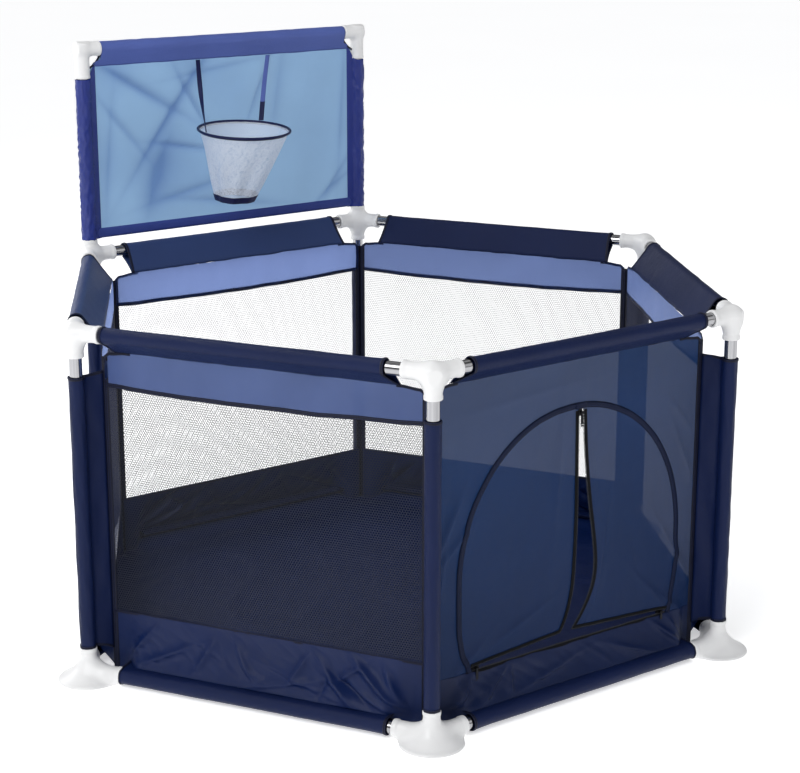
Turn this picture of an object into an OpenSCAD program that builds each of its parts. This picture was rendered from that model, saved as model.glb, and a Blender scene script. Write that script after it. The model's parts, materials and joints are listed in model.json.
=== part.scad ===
// Six-sided folding-fabric playpen: steel tube frame, white plastic fittings, a sewn cover with mesh
// windows, a zipped crawl-through door, and a lift-off backboard that carries a small net hoop.
// Millimetres. The origin is the centre of the hexagon at floor level, +Z up, and the door faces -Y.

/* [Frame] */
// Distance between neighbouring corner posts, which is also the distance from the centre to a post
side_len = 640; // [560:10:780]
// Height of the axis of the top rails
top_rail_z = 616; // [500:2:760]
// Height of the axis of the bottom rails
bottom_rail_z = 17; // [17:0.5:24]
// Outside diameter of every steel tube
tube_d = 22; // [18:0.5:24]
// Wall thickness of the steel tubes
tube_wall = 1; // [0.8:0.1:1.6]
// Distance from a corner to the end of each tube inside its fitting
tube_stop = 18; // [18:1:24]

/* [Fittings] */
// Wall thickness of the plastic sockets
socket_wall = 3; // [2:0.25:4]
// Radial clearance between a tube and its socket
socket_gap = 0.05; // [0.03:0.01:0.1]
// Length of the rail sockets of a top fitting, measured from the corner
rail_socket_len = 50; // [40:1:70]
// Length of the post socket below the top rail axis
post_socket_len = 42; // [34:1:60]
// Length of the backboard sockets above the top rail axis
board_socket_len = 30; // [26:1:50]
// Thickness of the web that braces the rail sockets
brace_t = 5; // [3:0.5:8]
// Length of the web along each rail socket
brace_len = 27; // [22:1:36]

/* [Feet] */
// Diameter of a foot
foot_d = 108; // [90:2:130]
// Height of the outer rim of a foot
foot_rim_h = 4; // [3:0.5:6]
// Height of the dome of a foot
foot_dome_h = 26; // [22:1:34]
// Length of the rail sockets of a foot, measured from the corner
foot_socket_len = 66; // [56:1:80]
// Height of the post socket of a foot above the bottom rail axis
foot_post_len = 42; // [34:1:60]
// Diameter of the anti-slip pad
pad_d = 92; // [70:2:108]
// Thickness of the anti-slip pad
pad_t = 2; // [1:0.5:3]

/* [Backboard] */
// Height of the axis of the backboard's top tube
board_top_z = 1014; // [900:2:1150]
// Height of the lower hem of the backboard cloth above the top rail axis
board_hem_rise = 31; // [31:1:60]
// Length of the two arms of an elbow, measured along the tube
elbow_arm = 36; // [30:1:50]
// Length of the leg of an elbow, measured down the post
elbow_leg = 55; // [40:1:70]
// Depth of the sewn tunnel that holds the top tube
board_tunnel = 36; // [28:1:50]

/* [Hoop] */
// Mean radius of the hoop ring
hoop_r = 91; // [75:1:110]
// Radius of the bound wire of the ring
hoop_wire_r = 2.5; // [2:0.5:5]
// Drop from the backboard's top tube axis to the hoop's hinge line
hoop_drop = 161; // [140:1:220]
// Sideways place of the hoop on the backboard
hoop_x = -19; // [-60:1:60]
// Downward tilt of the ring at rest
hoop_tilt = 4; // [0:1:10]
// Depth of the net
net_h = 138; // [90:1:170]
// Radius of the net's lower hem
net_bottom_r = 38; // [34:1:60]
// Half the distance between the two hanging straps at the backboard
strap_half_gap = 82; // [60:1:90]
// Sideways place of the middle between the straps at the backboard
strap_x = 15; // [-60:1:60]
// Place of the left strap on the ring, in degrees round from +X
left_strap_at = 184; // [150:1:200]
// Place of the right strap on the ring, in degrees round from +X
right_strap_at = 36; // [-20:1:60]
// Width of a strap
strap_w = 10; // [6:1:14]

/* [Cover] */
// Distance from the plane of the rails to the wall cloth
wall_inset = 43; // [36:1:60]
// Thickness of cloth, seams included
cloth_t = 1.5; // [1:0.25:2]
// Slack between a tube and the tunnel sewn around it
tunnel_gap = 0.3; // [0.3:0.1:1]
// Drop from the top rail axis to the seam between tunnel and wall
top_seam_drop = 38; // [30:1:50]
// Height of the cloth band above each mesh window
band_h = 65; // [50:1:90]
// Height of the cloth skirt under each mesh window
skirt_h = 117; // [90:1:160]
// Distance from a corner to the end of the tunnel around a top rail
top_tunnel_start = 76; // [72:1:100]
// Distance from a corner to the end of the tunnel around a bottom rail
bottom_tunnel_start = 76; // [70:1:100]
// Steel left bare between a top fitting and the tunnel around the post
post_bare = 34; // [20:1:50]
// Clearance between neighbouring pieces of cloth
seam_gap = 0.4; // [0.3:0.1:1]
// Height of the floor cloth above the floor
floor_lift = 2.5; // [2:0.5:4]

/* [Door] */
// Sideways place of the upright zip
zip_x = 17; // [-30:1:30]
// Drop from the top rail axis to the top of the upright zip
door_drop = 119; // [100:1:160]
// Height of the top edge of the lower zip tape
low_zip_z = 83; // [70:1:95]
// Distance from the upright zip to the lower corners of the door
door_half_w = 221; // [180:1:235]
// Height of the opening that the lower zip leaves at its ends
zip_slot = 9; // [8:0.5:12]
// Extra height of the lower zip's opening at its middle
low_gape = 13; // [4:1:20]
// Greatest width that the right flap hangs open
side_gape = 27; // [10:1:50]
// Width of the slot that the upright slider runs in
slider_slot = 15; // [14:0.5:18]
// Clearance along a flap's hinge seam
hinge_gap = 1; // [0.8:0.1:2]
// Width of a zip tape
tape_w = 9; // [7:0.5:12]

/* [Hidden] */
$fn = 48;
CORNERS = ["front_right", "right", "back_right", "back_left", "left", "front_left"];
SIDES = ["front", "front_right", "back_right", "back", "back_left", "front_left"];
BACK_RIGHT = 2;
BACK_LEFT = 3;

NAVY = [0.09, 0.14, 0.33];
BAND_BLUE = [0.26, 0.35, 0.57];
BOARD_BLUE = [0.45, 0.6, 0.73];
STEEL = [0.7, 0.7, 0.72];
PLASTIC = [0.94, 0.94, 0.94];
BLACK = [0.05, 0.05, 0.06];

tube_r = tube_d / 2;
bore_r = tube_r + socket_gap;
socket_r = bore_r + socket_wall;
hub_r = socket_r + 1;
rail_apothem = side_len * cos(30);
wall_apothem = rail_apothem - wall_inset;
wall_half = wall_apothem * tan(30);
tunnel_in = tube_r + tunnel_gap;
tunnel_out = tunnel_in + cloth_t;
corner_seam = 5;
bottom_seam_rise = 12;
panel_half = wall_half - corner_seam;

post_seat = 4;
post_bottom = bottom_rail_z + tube_stop - post_seat;
post_top = top_rail_z - tube_stop;
foot_base = pad_t;
wall_top = top_rail_z - top_seam_drop;
band_bottom = wall_top - band_h;
wall_bottom = max(floor_lift + cloth_t + seam_gap, foot_base + foot_rim_h + 1);
floor_r = (wall_apothem + cloth_t / 2) / cos(30);

board_post_gap = 0.5;
board_post_bottom = post_top + board_post_gap;
board_hem_z = top_rail_z + board_hem_rise;
board_post_top = board_top_z - tube_stop;
board_bare = 13;
board_sleeve_bottom = top_rail_z + board_socket_len + board_bare;
board_sleeve_top = board_top_z - elbow_leg - 2;
board_face_y = rail_apothem - cloth_t / 2;
board_tunnel_half = side_len / 2 - elbow_arm - 3;

hoop_clear = 0.4;
hinge_y = board_face_y - hoop_clear - hoop_wire_r;
hinge_z = board_top_z - hoop_drop;
strap_t = 0.8;
net_t = 1.2;

door_top = top_rail_z - door_drop;
low_slot_top = low_zip_z + zip_slot;
flap_top = door_top - 7;
flap_mid_z = low_slot_top + low_gape;
slot_share = 0.45;
slot_left = zip_x - slider_slot * slot_share;
slot_right = zip_x + slider_slot * (1 - slot_share);
door_shift = -9;
door_left = zip_x + door_shift - door_half_w;
door_right = zip_x + door_shift + door_half_w;
wall_face_y = -wall_apothem - cloth_t / 2;

slider_w = 7;
slider_len = 13;
slider_proud = 1.5;
slider_plate = 0.6;
slider_front = 3.6;
slider_end = 14;
lug_t = 1;
lug_h = 3.2;
lug_gap = 4;
lug_rim = 0.6;
pin_r = 0.8;
eye_r = 2;
eye_gap = 0.3;
pull_len = 24;
pull_w = 5;
pull_t = 1.2;
pull_neck = 6;
pull_hole_r = 1.5;
upright_z = door_top - 4 - slider_len / 2;
low_slider_z = low_zip_z + zip_slot / 2;
left_slider_x = door_left + slider_end;
right_slider_x = door_right - slider_end;
pin_y = wall_face_y - slider_front - eye_r;

// ---------- placing ----------

// Stands a shape drawn for the front side at side k, counted anticlockwise from the front.
module at_side(k) { rotate([0, 0, 60 * k]) children(); }

// Puts a shape drawn around the origin, with -Y pointing outward, on the axis of post i.
module at_corner(i) { rotate([0, 0, 60 * i + 30]) translate([0, -side_len, 0]) children(); }

// Extrudes an outline drawn in x and z into a cloth of thickness t whose middle is at y.
module upright_sheet(points, y, t) {
    translate([0, y + t / 2, 0]) rotate([90, 0, 0]) linear_extrude(height = t) polygon(points);
}

// ---------- steel frame ----------

module tube(len) {
    color(STEEL) difference() {
        cylinder(h = len, r = tube_r);
        translate([0, 0, -1]) cylinder(h = len + 2, r = tube_r - tube_wall);
    }
}

module post(i) { at_corner(i) translate([0, 0, post_bottom]) tube(post_top - post_bottom); }

module rail(k, z) {
    at_side(k) translate([-side_len / 2 + tube_stop, -rail_apothem, z]) rotate([0, 90, 0])
        tube(side_len - 2 * tube_stop);
}

// ---------- plastic fittings ----------

// One arm of a fitting, pointing along the rail on the given side (+1 or -1).
module along_rail(side) { rotate([0, 0, side * -60]) rotate([-90, 0, 0]) children(); }

module top_fitting(i) {
    upward = i == BACK_RIGHT || i == BACK_LEFT;
    bore_top = upward ? board_socket_len + 1 : -tube_stop;
    color(PLASTIC) at_corner(i) translate([0, 0, top_rail_z]) difference() {
        union() {
            sphere(r = hub_r);
            for (side = [-1, 1]) along_rail(side) cylinder(h = rail_socket_len, r = socket_r);
            translate([0, 0, -post_socket_len]) cylinder(h = post_socket_len, r = socket_r);
            if (upward) cylinder(h = board_socket_len, r = socket_r);
            for (side = [-1, 1]) rotate([0, 0, side * -60]) rotate([90, 0, 90])
                translate([0, 0, -brace_t / 2]) linear_extrude(height = brace_t)
                    polygon([[0, 0], [brace_len, 0], [0, -brace_len]]);
        }
        for (side = [-1, 1]) along_rail(side) translate([0, 0, tube_stop])
            cylinder(h = rail_socket_len, r = bore_r);
        translate([0, 0, -post_socket_len - 1])
            cylinder(h = post_socket_len + 1 + bore_top, r = bore_r);
    }
}

// Outline of a foot's dome: a flat rim that swells up to the post socket.
dome_power = 1.6;
dome_steps = 8;
function dome_h(t) = foot_rim_h + (foot_dome_h - foot_rim_h) * pow(sin(90 * t), dome_power);
dome_outline = concat(
    [[0, foot_base], [foot_d / 2, foot_base]],
    [for (n = [0:dome_steps]) let (t = n / dome_steps)
        [foot_d / 2 - (foot_d / 2 - socket_r) * t, foot_base + dome_h(t)]],
    [[0, foot_base + dome_h(1)]]
);

module foot(i) {
    color(PLASTIC) at_corner(i) difference() {
        union() {
            rotate_extrude() polygon(dome_outline);
            translate([0, 0, bottom_rail_z]) cylinder(h = foot_post_len, r = socket_r);
            for (side = [-1, 1]) translate([0, 0, bottom_rail_z]) along_rail(side)
                cylinder(h = foot_socket_len, r = socket_r);
        }
        for (side = [-1, 1]) translate([0, 0, bottom_rail_z]) along_rail(side)
            translate([0, 0, tube_stop]) cylinder(h = foot_socket_len, r = bore_r);
        translate([0, 0, post_bottom]) cylinder(h = foot_post_len, r = bore_r);
        translate([0, 0, foot_base - hub_r]) cylinder(h = hub_r, r = foot_d);
    }
}

module foot_pads() {
    color(BLACK) for (i = [0:5]) at_corner(i) cylinder(h = pad_t, r = pad_d / 2);
}

// ---------- backboard ----------

module board_post(side) {
    translate([side * side_len / 2, rail_apothem, board_post_bottom])
        tube(board_post_top - board_post_bottom);
}

module board_top_tube() {
    translate([-side_len / 2 + tube_stop, rail_apothem, board_top_z]) rotate([0, 90, 0])
        tube(side_len - 2 * tube_stop);
}

module board_elbow(side) {
    color(PLASTIC) translate([side * side_len / 2, rail_apothem, board_top_z]) difference() {
        union() {
            sphere(r = hub_r);
            translate([0, 0, -elbow_leg]) cylinder(h = elbow_leg, r = socket_r);
            rotate([0, -90 * side, 0]) cylinder(h = elbow_arm, r = socket_r);
        }
        translate([0, 0, -elbow_leg - 1]) cylinder(h = elbow_leg + 1 - tube_stop, r = bore_r);
        rotate([0, -90 * side, 0]) translate([0, 0, tube_stop]) cylinder(h = elbow_arm, r = bore_r);
    }
}

// One sewn piece: the board cloth with a tunnel around each post and around the top tube, cut away in a
// curve at the elbows.
module board_cover() {
    elbow_clear = 30;
    curve_shift = 10;
    curve_r = side_len / 2 - board_tunnel_half + 13;
    color(BOARD_BLUE) difference() {
        union() {
            translate([-side_len / 2, rail_apothem - cloth_t / 2, board_hem_z])
                cube([side_len, cloth_t, board_top_z - board_hem_z]);
            for (side = [-1, 1]) translate([side * side_len / 2, rail_apothem, board_sleeve_bottom])
                cylinder(h = board_sleeve_top - board_sleeve_bottom, r = tunnel_out);
            translate([-board_tunnel_half, rail_apothem, board_top_z]) rotate([0, 90, 0])
                cylinder(h = 2 * board_tunnel_half, r = tunnel_out);
        }
        for (side = [-1, 1]) translate([side * side_len / 2, rail_apothem, board_hem_z - 1]) {
            cylinder(h = board_top_z, r = tunnel_in);
            cylinder(h = board_sleeve_bottom - board_hem_z + 1, r = socket_r + 1);
        }
        translate([-side_len, rail_apothem, board_top_z]) rotate([0, 90, 0])
            cylinder(h = 2 * side_len, r = tunnel_in);
        for (side = [-1, 1]) {
            translate([side * (side_len / 2 + curve_shift), rail_apothem, board_top_z + curve_shift])
                rotate([90, 0, 0]) cylinder(h = 2 * elbow_clear, r = curve_r, center = true);
            translate([side * side_len / 2 - elbow_clear, rail_apothem - elbow_clear, board_sleeve_top])
                cube([2 * elbow_clear, 2 * elbow_clear, 2 * elbow_leg]);
        }
    }
}

// ---------- hoop ----------

// Moves a shape drawn around the ring's centre to the ring's tilted place on the backboard.
module at_hoop() {
    translate([hoop_x, hinge_y, hinge_z]) rotate([hoop_tilt, 0, 0]) translate([0, -hoop_r, 0]) children();
}

module hoop_ring() {
    color(NAVY) at_hoop() rotate_extrude($fn = 96) translate([hoop_r, 0]) circle(r = hoop_wire_r);
}

module hoop_net() {
    top_r = hoop_r - hoop_wire_r - net_t;
    color("white") at_hoop() rotate_extrude($fn = 96)
        polygon([[top_r - net_t, 1], [top_r, 1], [net_bottom_r, -net_h], [net_bottom_r - net_t, -net_h]]);
}

// A flat strap between two points.
module strap(from, to) {
    hull() for (p = [from, to]) translate(p) cube([strap_w, strap_t, strap_t], center = true);
}

// A point on the top of the ring, a degrees round from +X, at rest.
function ring_top(a) = [
    hoop_x + hoop_r * cos(a),
    hinge_y - hoop_r * cos(hoop_tilt) * (1 - sin(a)),
    hinge_z - hoop_r * sin(hoop_tilt) * (1 - sin(a)) + hoop_wire_r + strap_t
];

module hoop_straps() {
    top = [strap_x, board_face_y - cloth_t, board_top_z - board_tunnel];
    color(NAVY) {
        strap(top - [strap_half_gap, 0, 0], ring_top(left_strap_at));
        strap(top + [strap_half_gap, 0, 0], ring_top(right_strap_at));
    }
}

// ---------- cover ----------

module mesh_window(k) {
    color([0.25, 0.25, 0.28]) at_side(k)
        translate([-panel_half, -wall_apothem - cloth_t / 2, skirt_h + seam_gap])
            cube([2 * panel_half, cloth_t, band_bottom - skirt_h - 2 * seam_gap]);
}

module wall_cloth() {
    for (k = [1:5]) at_side(k) translate([-panel_half, -wall_apothem - cloth_t / 2, 0]) {
        color(BAND_BLUE) translate([0, 0, band_bottom]) cube([2 * panel_half, cloth_t, band_h]);
        color(NAVY) translate([0, 0, wall_bottom])
            cube([2 * panel_half, cloth_t, skirt_h - wall_bottom]);
    }
}

// A tunnel around a rail and the loop of cloth that joins it to the wall; z is the rail's height and
// seam_z the height of the seam on the wall.
module rail_tunnel(z, seam_z, start) {
    len = side_len - 2 * start;
    seam_y = -wall_apothem - cloth_t / 2 - seam_gap;
    translate([-len / 2, 0, 0]) rotate([90, 0, 90]) linear_extrude(height = len)
        difference() {
            union() {
                translate([-rail_apothem, z]) circle(r = tunnel_out);
                polygon([
                    [-rail_apothem, z],
                    [seam_y, seam_z],
                    [seam_y, seam_z + 2 * cloth_t],
                    [-rail_apothem, z + 2 * cloth_t]
                ]);
            }
            translate([-rail_apothem, z]) circle(r = tunnel_in);
        }
}

module top_rail_tunnels() {
    color(NAVY) for (k = [0:5]) at_side(k)
        rail_tunnel(top_rail_z, wall_top - 2 * cloth_t, top_tunnel_start);
}

module bottom_rail_tunnels() {
    color(NAVY) for (k = [0:5]) at_side(k)
        rail_tunnel(bottom_rail_z, bottom_rail_z + bottom_seam_rise, bottom_tunnel_start);
}

// A tunnel around each post with a web that ties it to the corner of the walls.
module post_tunnels() {
    z0 = bottom_rail_z + foot_post_len + 1;
    z1 = top_rail_z - post_socket_len - post_bare;
    web = side_len - wall_apothem / cos(30);
    color(NAVY) for (i = [0:5]) at_corner(i) translate([0, 0, z0]) difference() {
        union() {
            cylinder(h = z1 - z0, r = tunnel_out);
            translate([-cloth_t, 0, 0]) cube([2 * cloth_t, web, z1 - z0]);
        }
        translate([0, 0, -1]) cylinder(h = z1 - z0 + 2, r = tunnel_in);
    }
}

// The floor cloth is cut away in a curve around each foot.
module floor_cloth() {
    color(NAVY) difference() {
        translate([0, 0, floor_lift]) cylinder(h = cloth_t, r = floor_r, $fn = 6);
        for (i = [0:5]) at_corner(i) cylinder(h = 2 * (floor_lift + cloth_t), r = foot_d / 2 + 1);
    }
}

// ---------- door ----------

// Where the hinge seams of the flaps cross height z.
function seam_share(z) = (door_top - z) / (door_top - low_slot_top);
function left_seam(z) = slot_left + (door_left - slot_left) * seam_share(z);
function right_seam(z) = slot_right + (door_right - slot_right) * seam_share(z);

// The two free edges beside the upright zip; t runs from 0 at the bottom to 1 at the top.
left_clear = 6;
left_curl = 28;
left_curl_power = 9;
right_clear = 8;
right_curl = 13;
right_curl_power = 12;
gape_skew = 0.53;
gape_power = 2.8;
edge_steps = 20;
function left_edge(t) = zip_x - left_clear - left_curl * pow(1 - t, left_curl_power);
function right_edge(t) = zip_x + right_clear - right_curl * pow(1 - t, right_curl_power)
    + side_gape * pow(sin(180 * pow(t, gape_skew)), gape_power);

// The panel around the flaps, sewn from a header, two cheeks and a sill.
module door_panel() {
    low = low_zip_z + seam_gap;
    high = door_top + seam_gap;
    color(NAVY) {
        upright_sheet([
            [-panel_half, high], [panel_half, high], [panel_half, wall_top], [-panel_half, wall_top]
        ], -wall_apothem, cloth_t);
        upright_sheet([
            [-panel_half, low], [left_seam(low), low], [slot_left, door_top], [-panel_half, door_top]
        ], -wall_apothem, cloth_t);
        upright_sheet([
            [right_seam(low), low], [panel_half, low], [panel_half, door_top], [slot_right, door_top]
        ], -wall_apothem, cloth_t);
        upright_sheet([
            [-panel_half, wall_bottom], [panel_half, wall_bottom],
            [panel_half, low_zip_z], [-panel_half, low_zip_z]
        ], -wall_apothem, cloth_t);
    }
}

// A flap between its hinge seam, whose two ends are given, and its free edge.
module flap(seam_low, seam_high, edge) {
    color(NAVY) upright_sheet(concat(
        [[seam_low, low_slot_top]],
        [for (n = [0:edge_steps]) let (t = n / edge_steps)
            [edge(t), flap_mid_z + (flap_top - flap_mid_z) * t]],
        [[seam_high, flap_top]]
    ), -wall_apothem, cloth_t);
}

module door_flap_left() {
    clear = 1.2 * hinge_gap;
    flap(left_seam(low_slot_top) + clear, left_seam(flap_top) + clear, function(t) left_edge(t));
}

module door_flap_right() {
    clear = 1.2 * hinge_gap;
    flap(right_seam(low_slot_top) - clear, right_seam(flap_top) - clear, function(t) right_edge(t));
}

module lower_zip_tape() {
    tape_t = 1.2;
    drop = 0.5;
    color(BLACK) translate([door_left, wall_face_y - tape_t, low_zip_z - tape_w])
        cube([door_right - door_left, tape_t, tape_w - drop]);
}

// A zip slider in the gap between two edges, with a lug pair and a pin that hold its pull.
module zip_slider(x, z, w, h) {
    face_y = wall_face_y - slider_proud;
    pin_len = lug_gap + lug_t;
    color(BLACK) translate([x, 0, z]) {
        translate([-w / 2, face_y, -h / 2]) cube([w, cloth_t + 2 * slider_proud, h]);
        translate([-w / 2 + 1, face_y - slider_plate, -h / 2 + 1]) cube([w - 2, 1, h - 2]);
        for (side = [-1, 1])
            translate([side * pin_len / 2 - lug_t / 2, pin_y - pin_r - lug_rim, -lug_h / 2])
                cube([lug_t, wall_face_y - pin_y, lug_h]);
        translate([-pin_len / 2, pin_y, 0]) rotate([0, 90, 0]) cylinder(h = pin_len, r = pin_r);
    }
}

// A pull tab that hangs from the slider's pin, with a finger hole at its lower end.
module zip_pull(x, z) {
    neck_w = lug_gap - 2 * eye_gap;
    bore_gap = 0.05;
    color(BLACK) translate([x, pin_y, z]) difference() {
        union() {
            translate([-neck_w / 2, 0, 0]) rotate([0, 90, 0]) cylinder(h = neck_w, r = eye_r);
            translate([-neck_w / 2, -pull_t / 2, -pull_len / 2]) cube([neck_w, pull_t, pull_len / 2]);
            translate([-pull_w / 2, -pull_t / 2, -pull_len]) cube([pull_w, pull_t, pull_len - pull_neck]);
        }
        translate([-lug_gap, 0, 0]) rotate([0, 90, 0]) cylinder(h = 2 * lug_gap, r = pin_r + bore_gap);
        translate([0, pull_t, -pull_len + 2 * pull_hole_r]) rotate([90, 0, 0])
            cylinder(h = 2 * pull_t, r = pull_hole_r);
    }
}

// ---------- the nodes ----------

for (i = [0:5]) {
    post(i);
    top_fitting(i);
    foot(i);
    rail(i, top_rail_z);
    rail(i, bottom_rail_z);
}
for (k = [1:5]) mesh_window(k);
foot_pads();
board_post(-1);  // board_post_left
board_post(1);  // board_post_right
board_top_tube();
board_elbow(-1);  // board_elbow_left
board_elbow(1);  // board_elbow_right
board_cover();
hoop_ring();
hoop_net();
hoop_straps();
door_panel();
door_flap_left();
door_flap_right();
lower_zip_tape();
zip_slider(zip_x, upright_z, slider_w, slider_len);  // zip_slider_upright
zip_slider(left_slider_x, low_slider_z, slider_len, slider_w);  // zip_slider_left
zip_slider(right_slider_x, low_slider_z, slider_len, slider_w);  // zip_slider_right
zip_pull(zip_x, upright_z);  // zip_pull_upright
zip_pull(left_slider_x, low_slider_z);  // zip_pull_left
zip_pull(right_slider_x, low_slider_z);  // zip_pull_right
wall_cloth();
top_rail_tunnels();
bottom_rail_tunnels();
post_tunnels();
floor_cloth();
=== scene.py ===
"""Looks of the playpen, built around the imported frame. Metres, +Z up, the door faces -Y."""

import json
import math

import bpy
import numpy as np
import openvdb as vdb
from mathutils import Vector
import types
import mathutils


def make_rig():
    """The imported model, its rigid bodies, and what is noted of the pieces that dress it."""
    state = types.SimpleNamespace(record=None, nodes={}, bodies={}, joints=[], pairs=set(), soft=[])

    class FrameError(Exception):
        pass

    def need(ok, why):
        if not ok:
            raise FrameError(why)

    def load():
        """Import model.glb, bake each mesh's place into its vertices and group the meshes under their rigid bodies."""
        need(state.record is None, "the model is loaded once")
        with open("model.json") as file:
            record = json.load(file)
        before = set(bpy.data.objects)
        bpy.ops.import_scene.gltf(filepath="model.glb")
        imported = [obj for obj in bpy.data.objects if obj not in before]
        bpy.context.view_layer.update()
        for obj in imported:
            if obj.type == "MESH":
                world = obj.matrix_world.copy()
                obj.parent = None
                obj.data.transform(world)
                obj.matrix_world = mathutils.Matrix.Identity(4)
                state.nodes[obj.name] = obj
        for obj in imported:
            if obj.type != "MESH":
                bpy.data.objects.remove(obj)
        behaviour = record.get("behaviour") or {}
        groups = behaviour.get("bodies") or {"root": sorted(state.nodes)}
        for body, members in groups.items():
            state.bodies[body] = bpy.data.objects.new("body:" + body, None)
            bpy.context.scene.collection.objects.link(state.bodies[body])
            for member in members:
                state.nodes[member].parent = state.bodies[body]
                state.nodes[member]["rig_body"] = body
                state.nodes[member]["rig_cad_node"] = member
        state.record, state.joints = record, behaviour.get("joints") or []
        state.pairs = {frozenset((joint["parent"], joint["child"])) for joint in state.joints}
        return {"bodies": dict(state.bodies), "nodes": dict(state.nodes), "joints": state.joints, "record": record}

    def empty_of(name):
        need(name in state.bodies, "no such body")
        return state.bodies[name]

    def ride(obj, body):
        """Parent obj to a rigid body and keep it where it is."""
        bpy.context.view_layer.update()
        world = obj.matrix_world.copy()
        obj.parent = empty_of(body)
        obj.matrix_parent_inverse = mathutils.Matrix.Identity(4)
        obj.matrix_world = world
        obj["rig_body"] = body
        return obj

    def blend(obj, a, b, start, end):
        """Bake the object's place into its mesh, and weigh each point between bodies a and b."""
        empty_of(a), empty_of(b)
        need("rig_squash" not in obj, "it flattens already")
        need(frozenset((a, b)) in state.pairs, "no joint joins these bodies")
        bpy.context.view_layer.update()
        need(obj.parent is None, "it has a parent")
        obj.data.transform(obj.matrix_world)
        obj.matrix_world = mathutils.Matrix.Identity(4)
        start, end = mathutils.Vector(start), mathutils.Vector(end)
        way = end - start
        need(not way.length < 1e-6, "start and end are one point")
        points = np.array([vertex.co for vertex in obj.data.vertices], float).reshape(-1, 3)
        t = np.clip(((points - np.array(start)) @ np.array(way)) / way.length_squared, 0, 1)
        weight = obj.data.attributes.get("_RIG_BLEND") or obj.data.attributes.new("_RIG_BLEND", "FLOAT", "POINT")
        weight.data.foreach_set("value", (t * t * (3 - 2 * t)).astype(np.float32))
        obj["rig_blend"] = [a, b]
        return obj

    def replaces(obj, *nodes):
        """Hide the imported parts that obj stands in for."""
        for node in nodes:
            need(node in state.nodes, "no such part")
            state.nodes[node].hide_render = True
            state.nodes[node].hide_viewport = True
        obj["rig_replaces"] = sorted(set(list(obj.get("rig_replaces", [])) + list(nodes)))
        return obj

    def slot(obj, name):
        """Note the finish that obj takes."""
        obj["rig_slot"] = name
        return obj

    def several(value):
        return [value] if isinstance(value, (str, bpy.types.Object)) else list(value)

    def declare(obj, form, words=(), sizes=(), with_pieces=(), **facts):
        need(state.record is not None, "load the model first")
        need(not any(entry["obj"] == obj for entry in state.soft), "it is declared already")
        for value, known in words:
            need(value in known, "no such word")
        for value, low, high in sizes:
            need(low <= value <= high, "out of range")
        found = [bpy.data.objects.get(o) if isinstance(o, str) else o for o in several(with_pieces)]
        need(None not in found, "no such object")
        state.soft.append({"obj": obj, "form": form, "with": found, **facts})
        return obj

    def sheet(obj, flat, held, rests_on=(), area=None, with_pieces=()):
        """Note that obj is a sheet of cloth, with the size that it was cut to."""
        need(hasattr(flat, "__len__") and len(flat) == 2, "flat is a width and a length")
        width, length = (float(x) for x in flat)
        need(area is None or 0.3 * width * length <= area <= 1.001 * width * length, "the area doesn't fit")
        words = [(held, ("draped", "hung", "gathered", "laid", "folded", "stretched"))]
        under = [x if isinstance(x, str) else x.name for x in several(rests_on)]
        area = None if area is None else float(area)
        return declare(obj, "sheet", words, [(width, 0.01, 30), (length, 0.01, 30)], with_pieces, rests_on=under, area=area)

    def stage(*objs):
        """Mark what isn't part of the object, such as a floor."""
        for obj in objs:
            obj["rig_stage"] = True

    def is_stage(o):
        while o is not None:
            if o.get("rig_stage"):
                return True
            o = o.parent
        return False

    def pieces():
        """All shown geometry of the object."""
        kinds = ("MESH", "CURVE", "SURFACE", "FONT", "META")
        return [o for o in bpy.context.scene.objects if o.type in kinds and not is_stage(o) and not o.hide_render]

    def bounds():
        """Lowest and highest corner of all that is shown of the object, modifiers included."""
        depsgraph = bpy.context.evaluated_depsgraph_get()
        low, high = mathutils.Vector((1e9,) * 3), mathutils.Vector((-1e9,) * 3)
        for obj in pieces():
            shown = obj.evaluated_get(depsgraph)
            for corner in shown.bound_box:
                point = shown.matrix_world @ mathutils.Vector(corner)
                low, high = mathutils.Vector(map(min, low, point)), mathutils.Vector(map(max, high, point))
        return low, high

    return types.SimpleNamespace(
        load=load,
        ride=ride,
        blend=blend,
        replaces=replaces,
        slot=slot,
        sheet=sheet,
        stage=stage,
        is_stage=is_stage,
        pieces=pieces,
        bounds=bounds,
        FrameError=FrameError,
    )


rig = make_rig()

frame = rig.load()
cad_low, cad_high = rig.bounds()
scene = bpy.context.scene

# ---------- sizes, as in the CAD source ----------

SIDE = 0.640
RAIL_A = SIDE * math.cos(math.radians(30))
WALL_A = RAIL_A - 0.043
WALL_FACE = WALL_A + 0.0004
PANEL_HALF = WALL_A * math.tan(math.radians(30)) - 0.005
TOP_Z, BOTTOM_Z = 0.616, 0.017
BORE_R, SOCKET_R, STOP = 0.01105, 0.01405, 0.018
WALL_TOP, BAND_LOW, SKIRT_H = 0.578, 0.513, 0.117
TUNNEL_R = 0.0124
BOARD_Z, BOARD_HEM = 1.014, 0.647
HOOP_X, HINGE_Y, HINGE_Z, HOOP_R, WIRE_R, TILT = -0.019, 0.550606, 0.853, 0.091, 0.0025, 4
NET_H, NET_LOW_R, STRAP_X, STRAP_HALF = 0.138, 0.038, 0.015, 0.082
ZIP_X, DOOR_TOP, LOW_ZIP, SLOT_TOP, FLAP_TOP, FLAP_MID = 0.017, 0.497, 0.083, 0.092, 0.490, 0.105
DOOR_LEFT, DOOR_RIGHT, SLOT_LEFT, SLOT_RIGHT = -0.213, 0.229, 0.01025, 0.02525
SIDES = ["front", "front_right", "back_right", "back", "back_left", "front_left"]
CORNERS = ["front_right", "right", "back_right", "back_left", "left", "front_left"]


# ---------- camera, lights and node trees ----------

FLOOR = 60  # from the middle to the ground's edge, and as far as the camera sees


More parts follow.
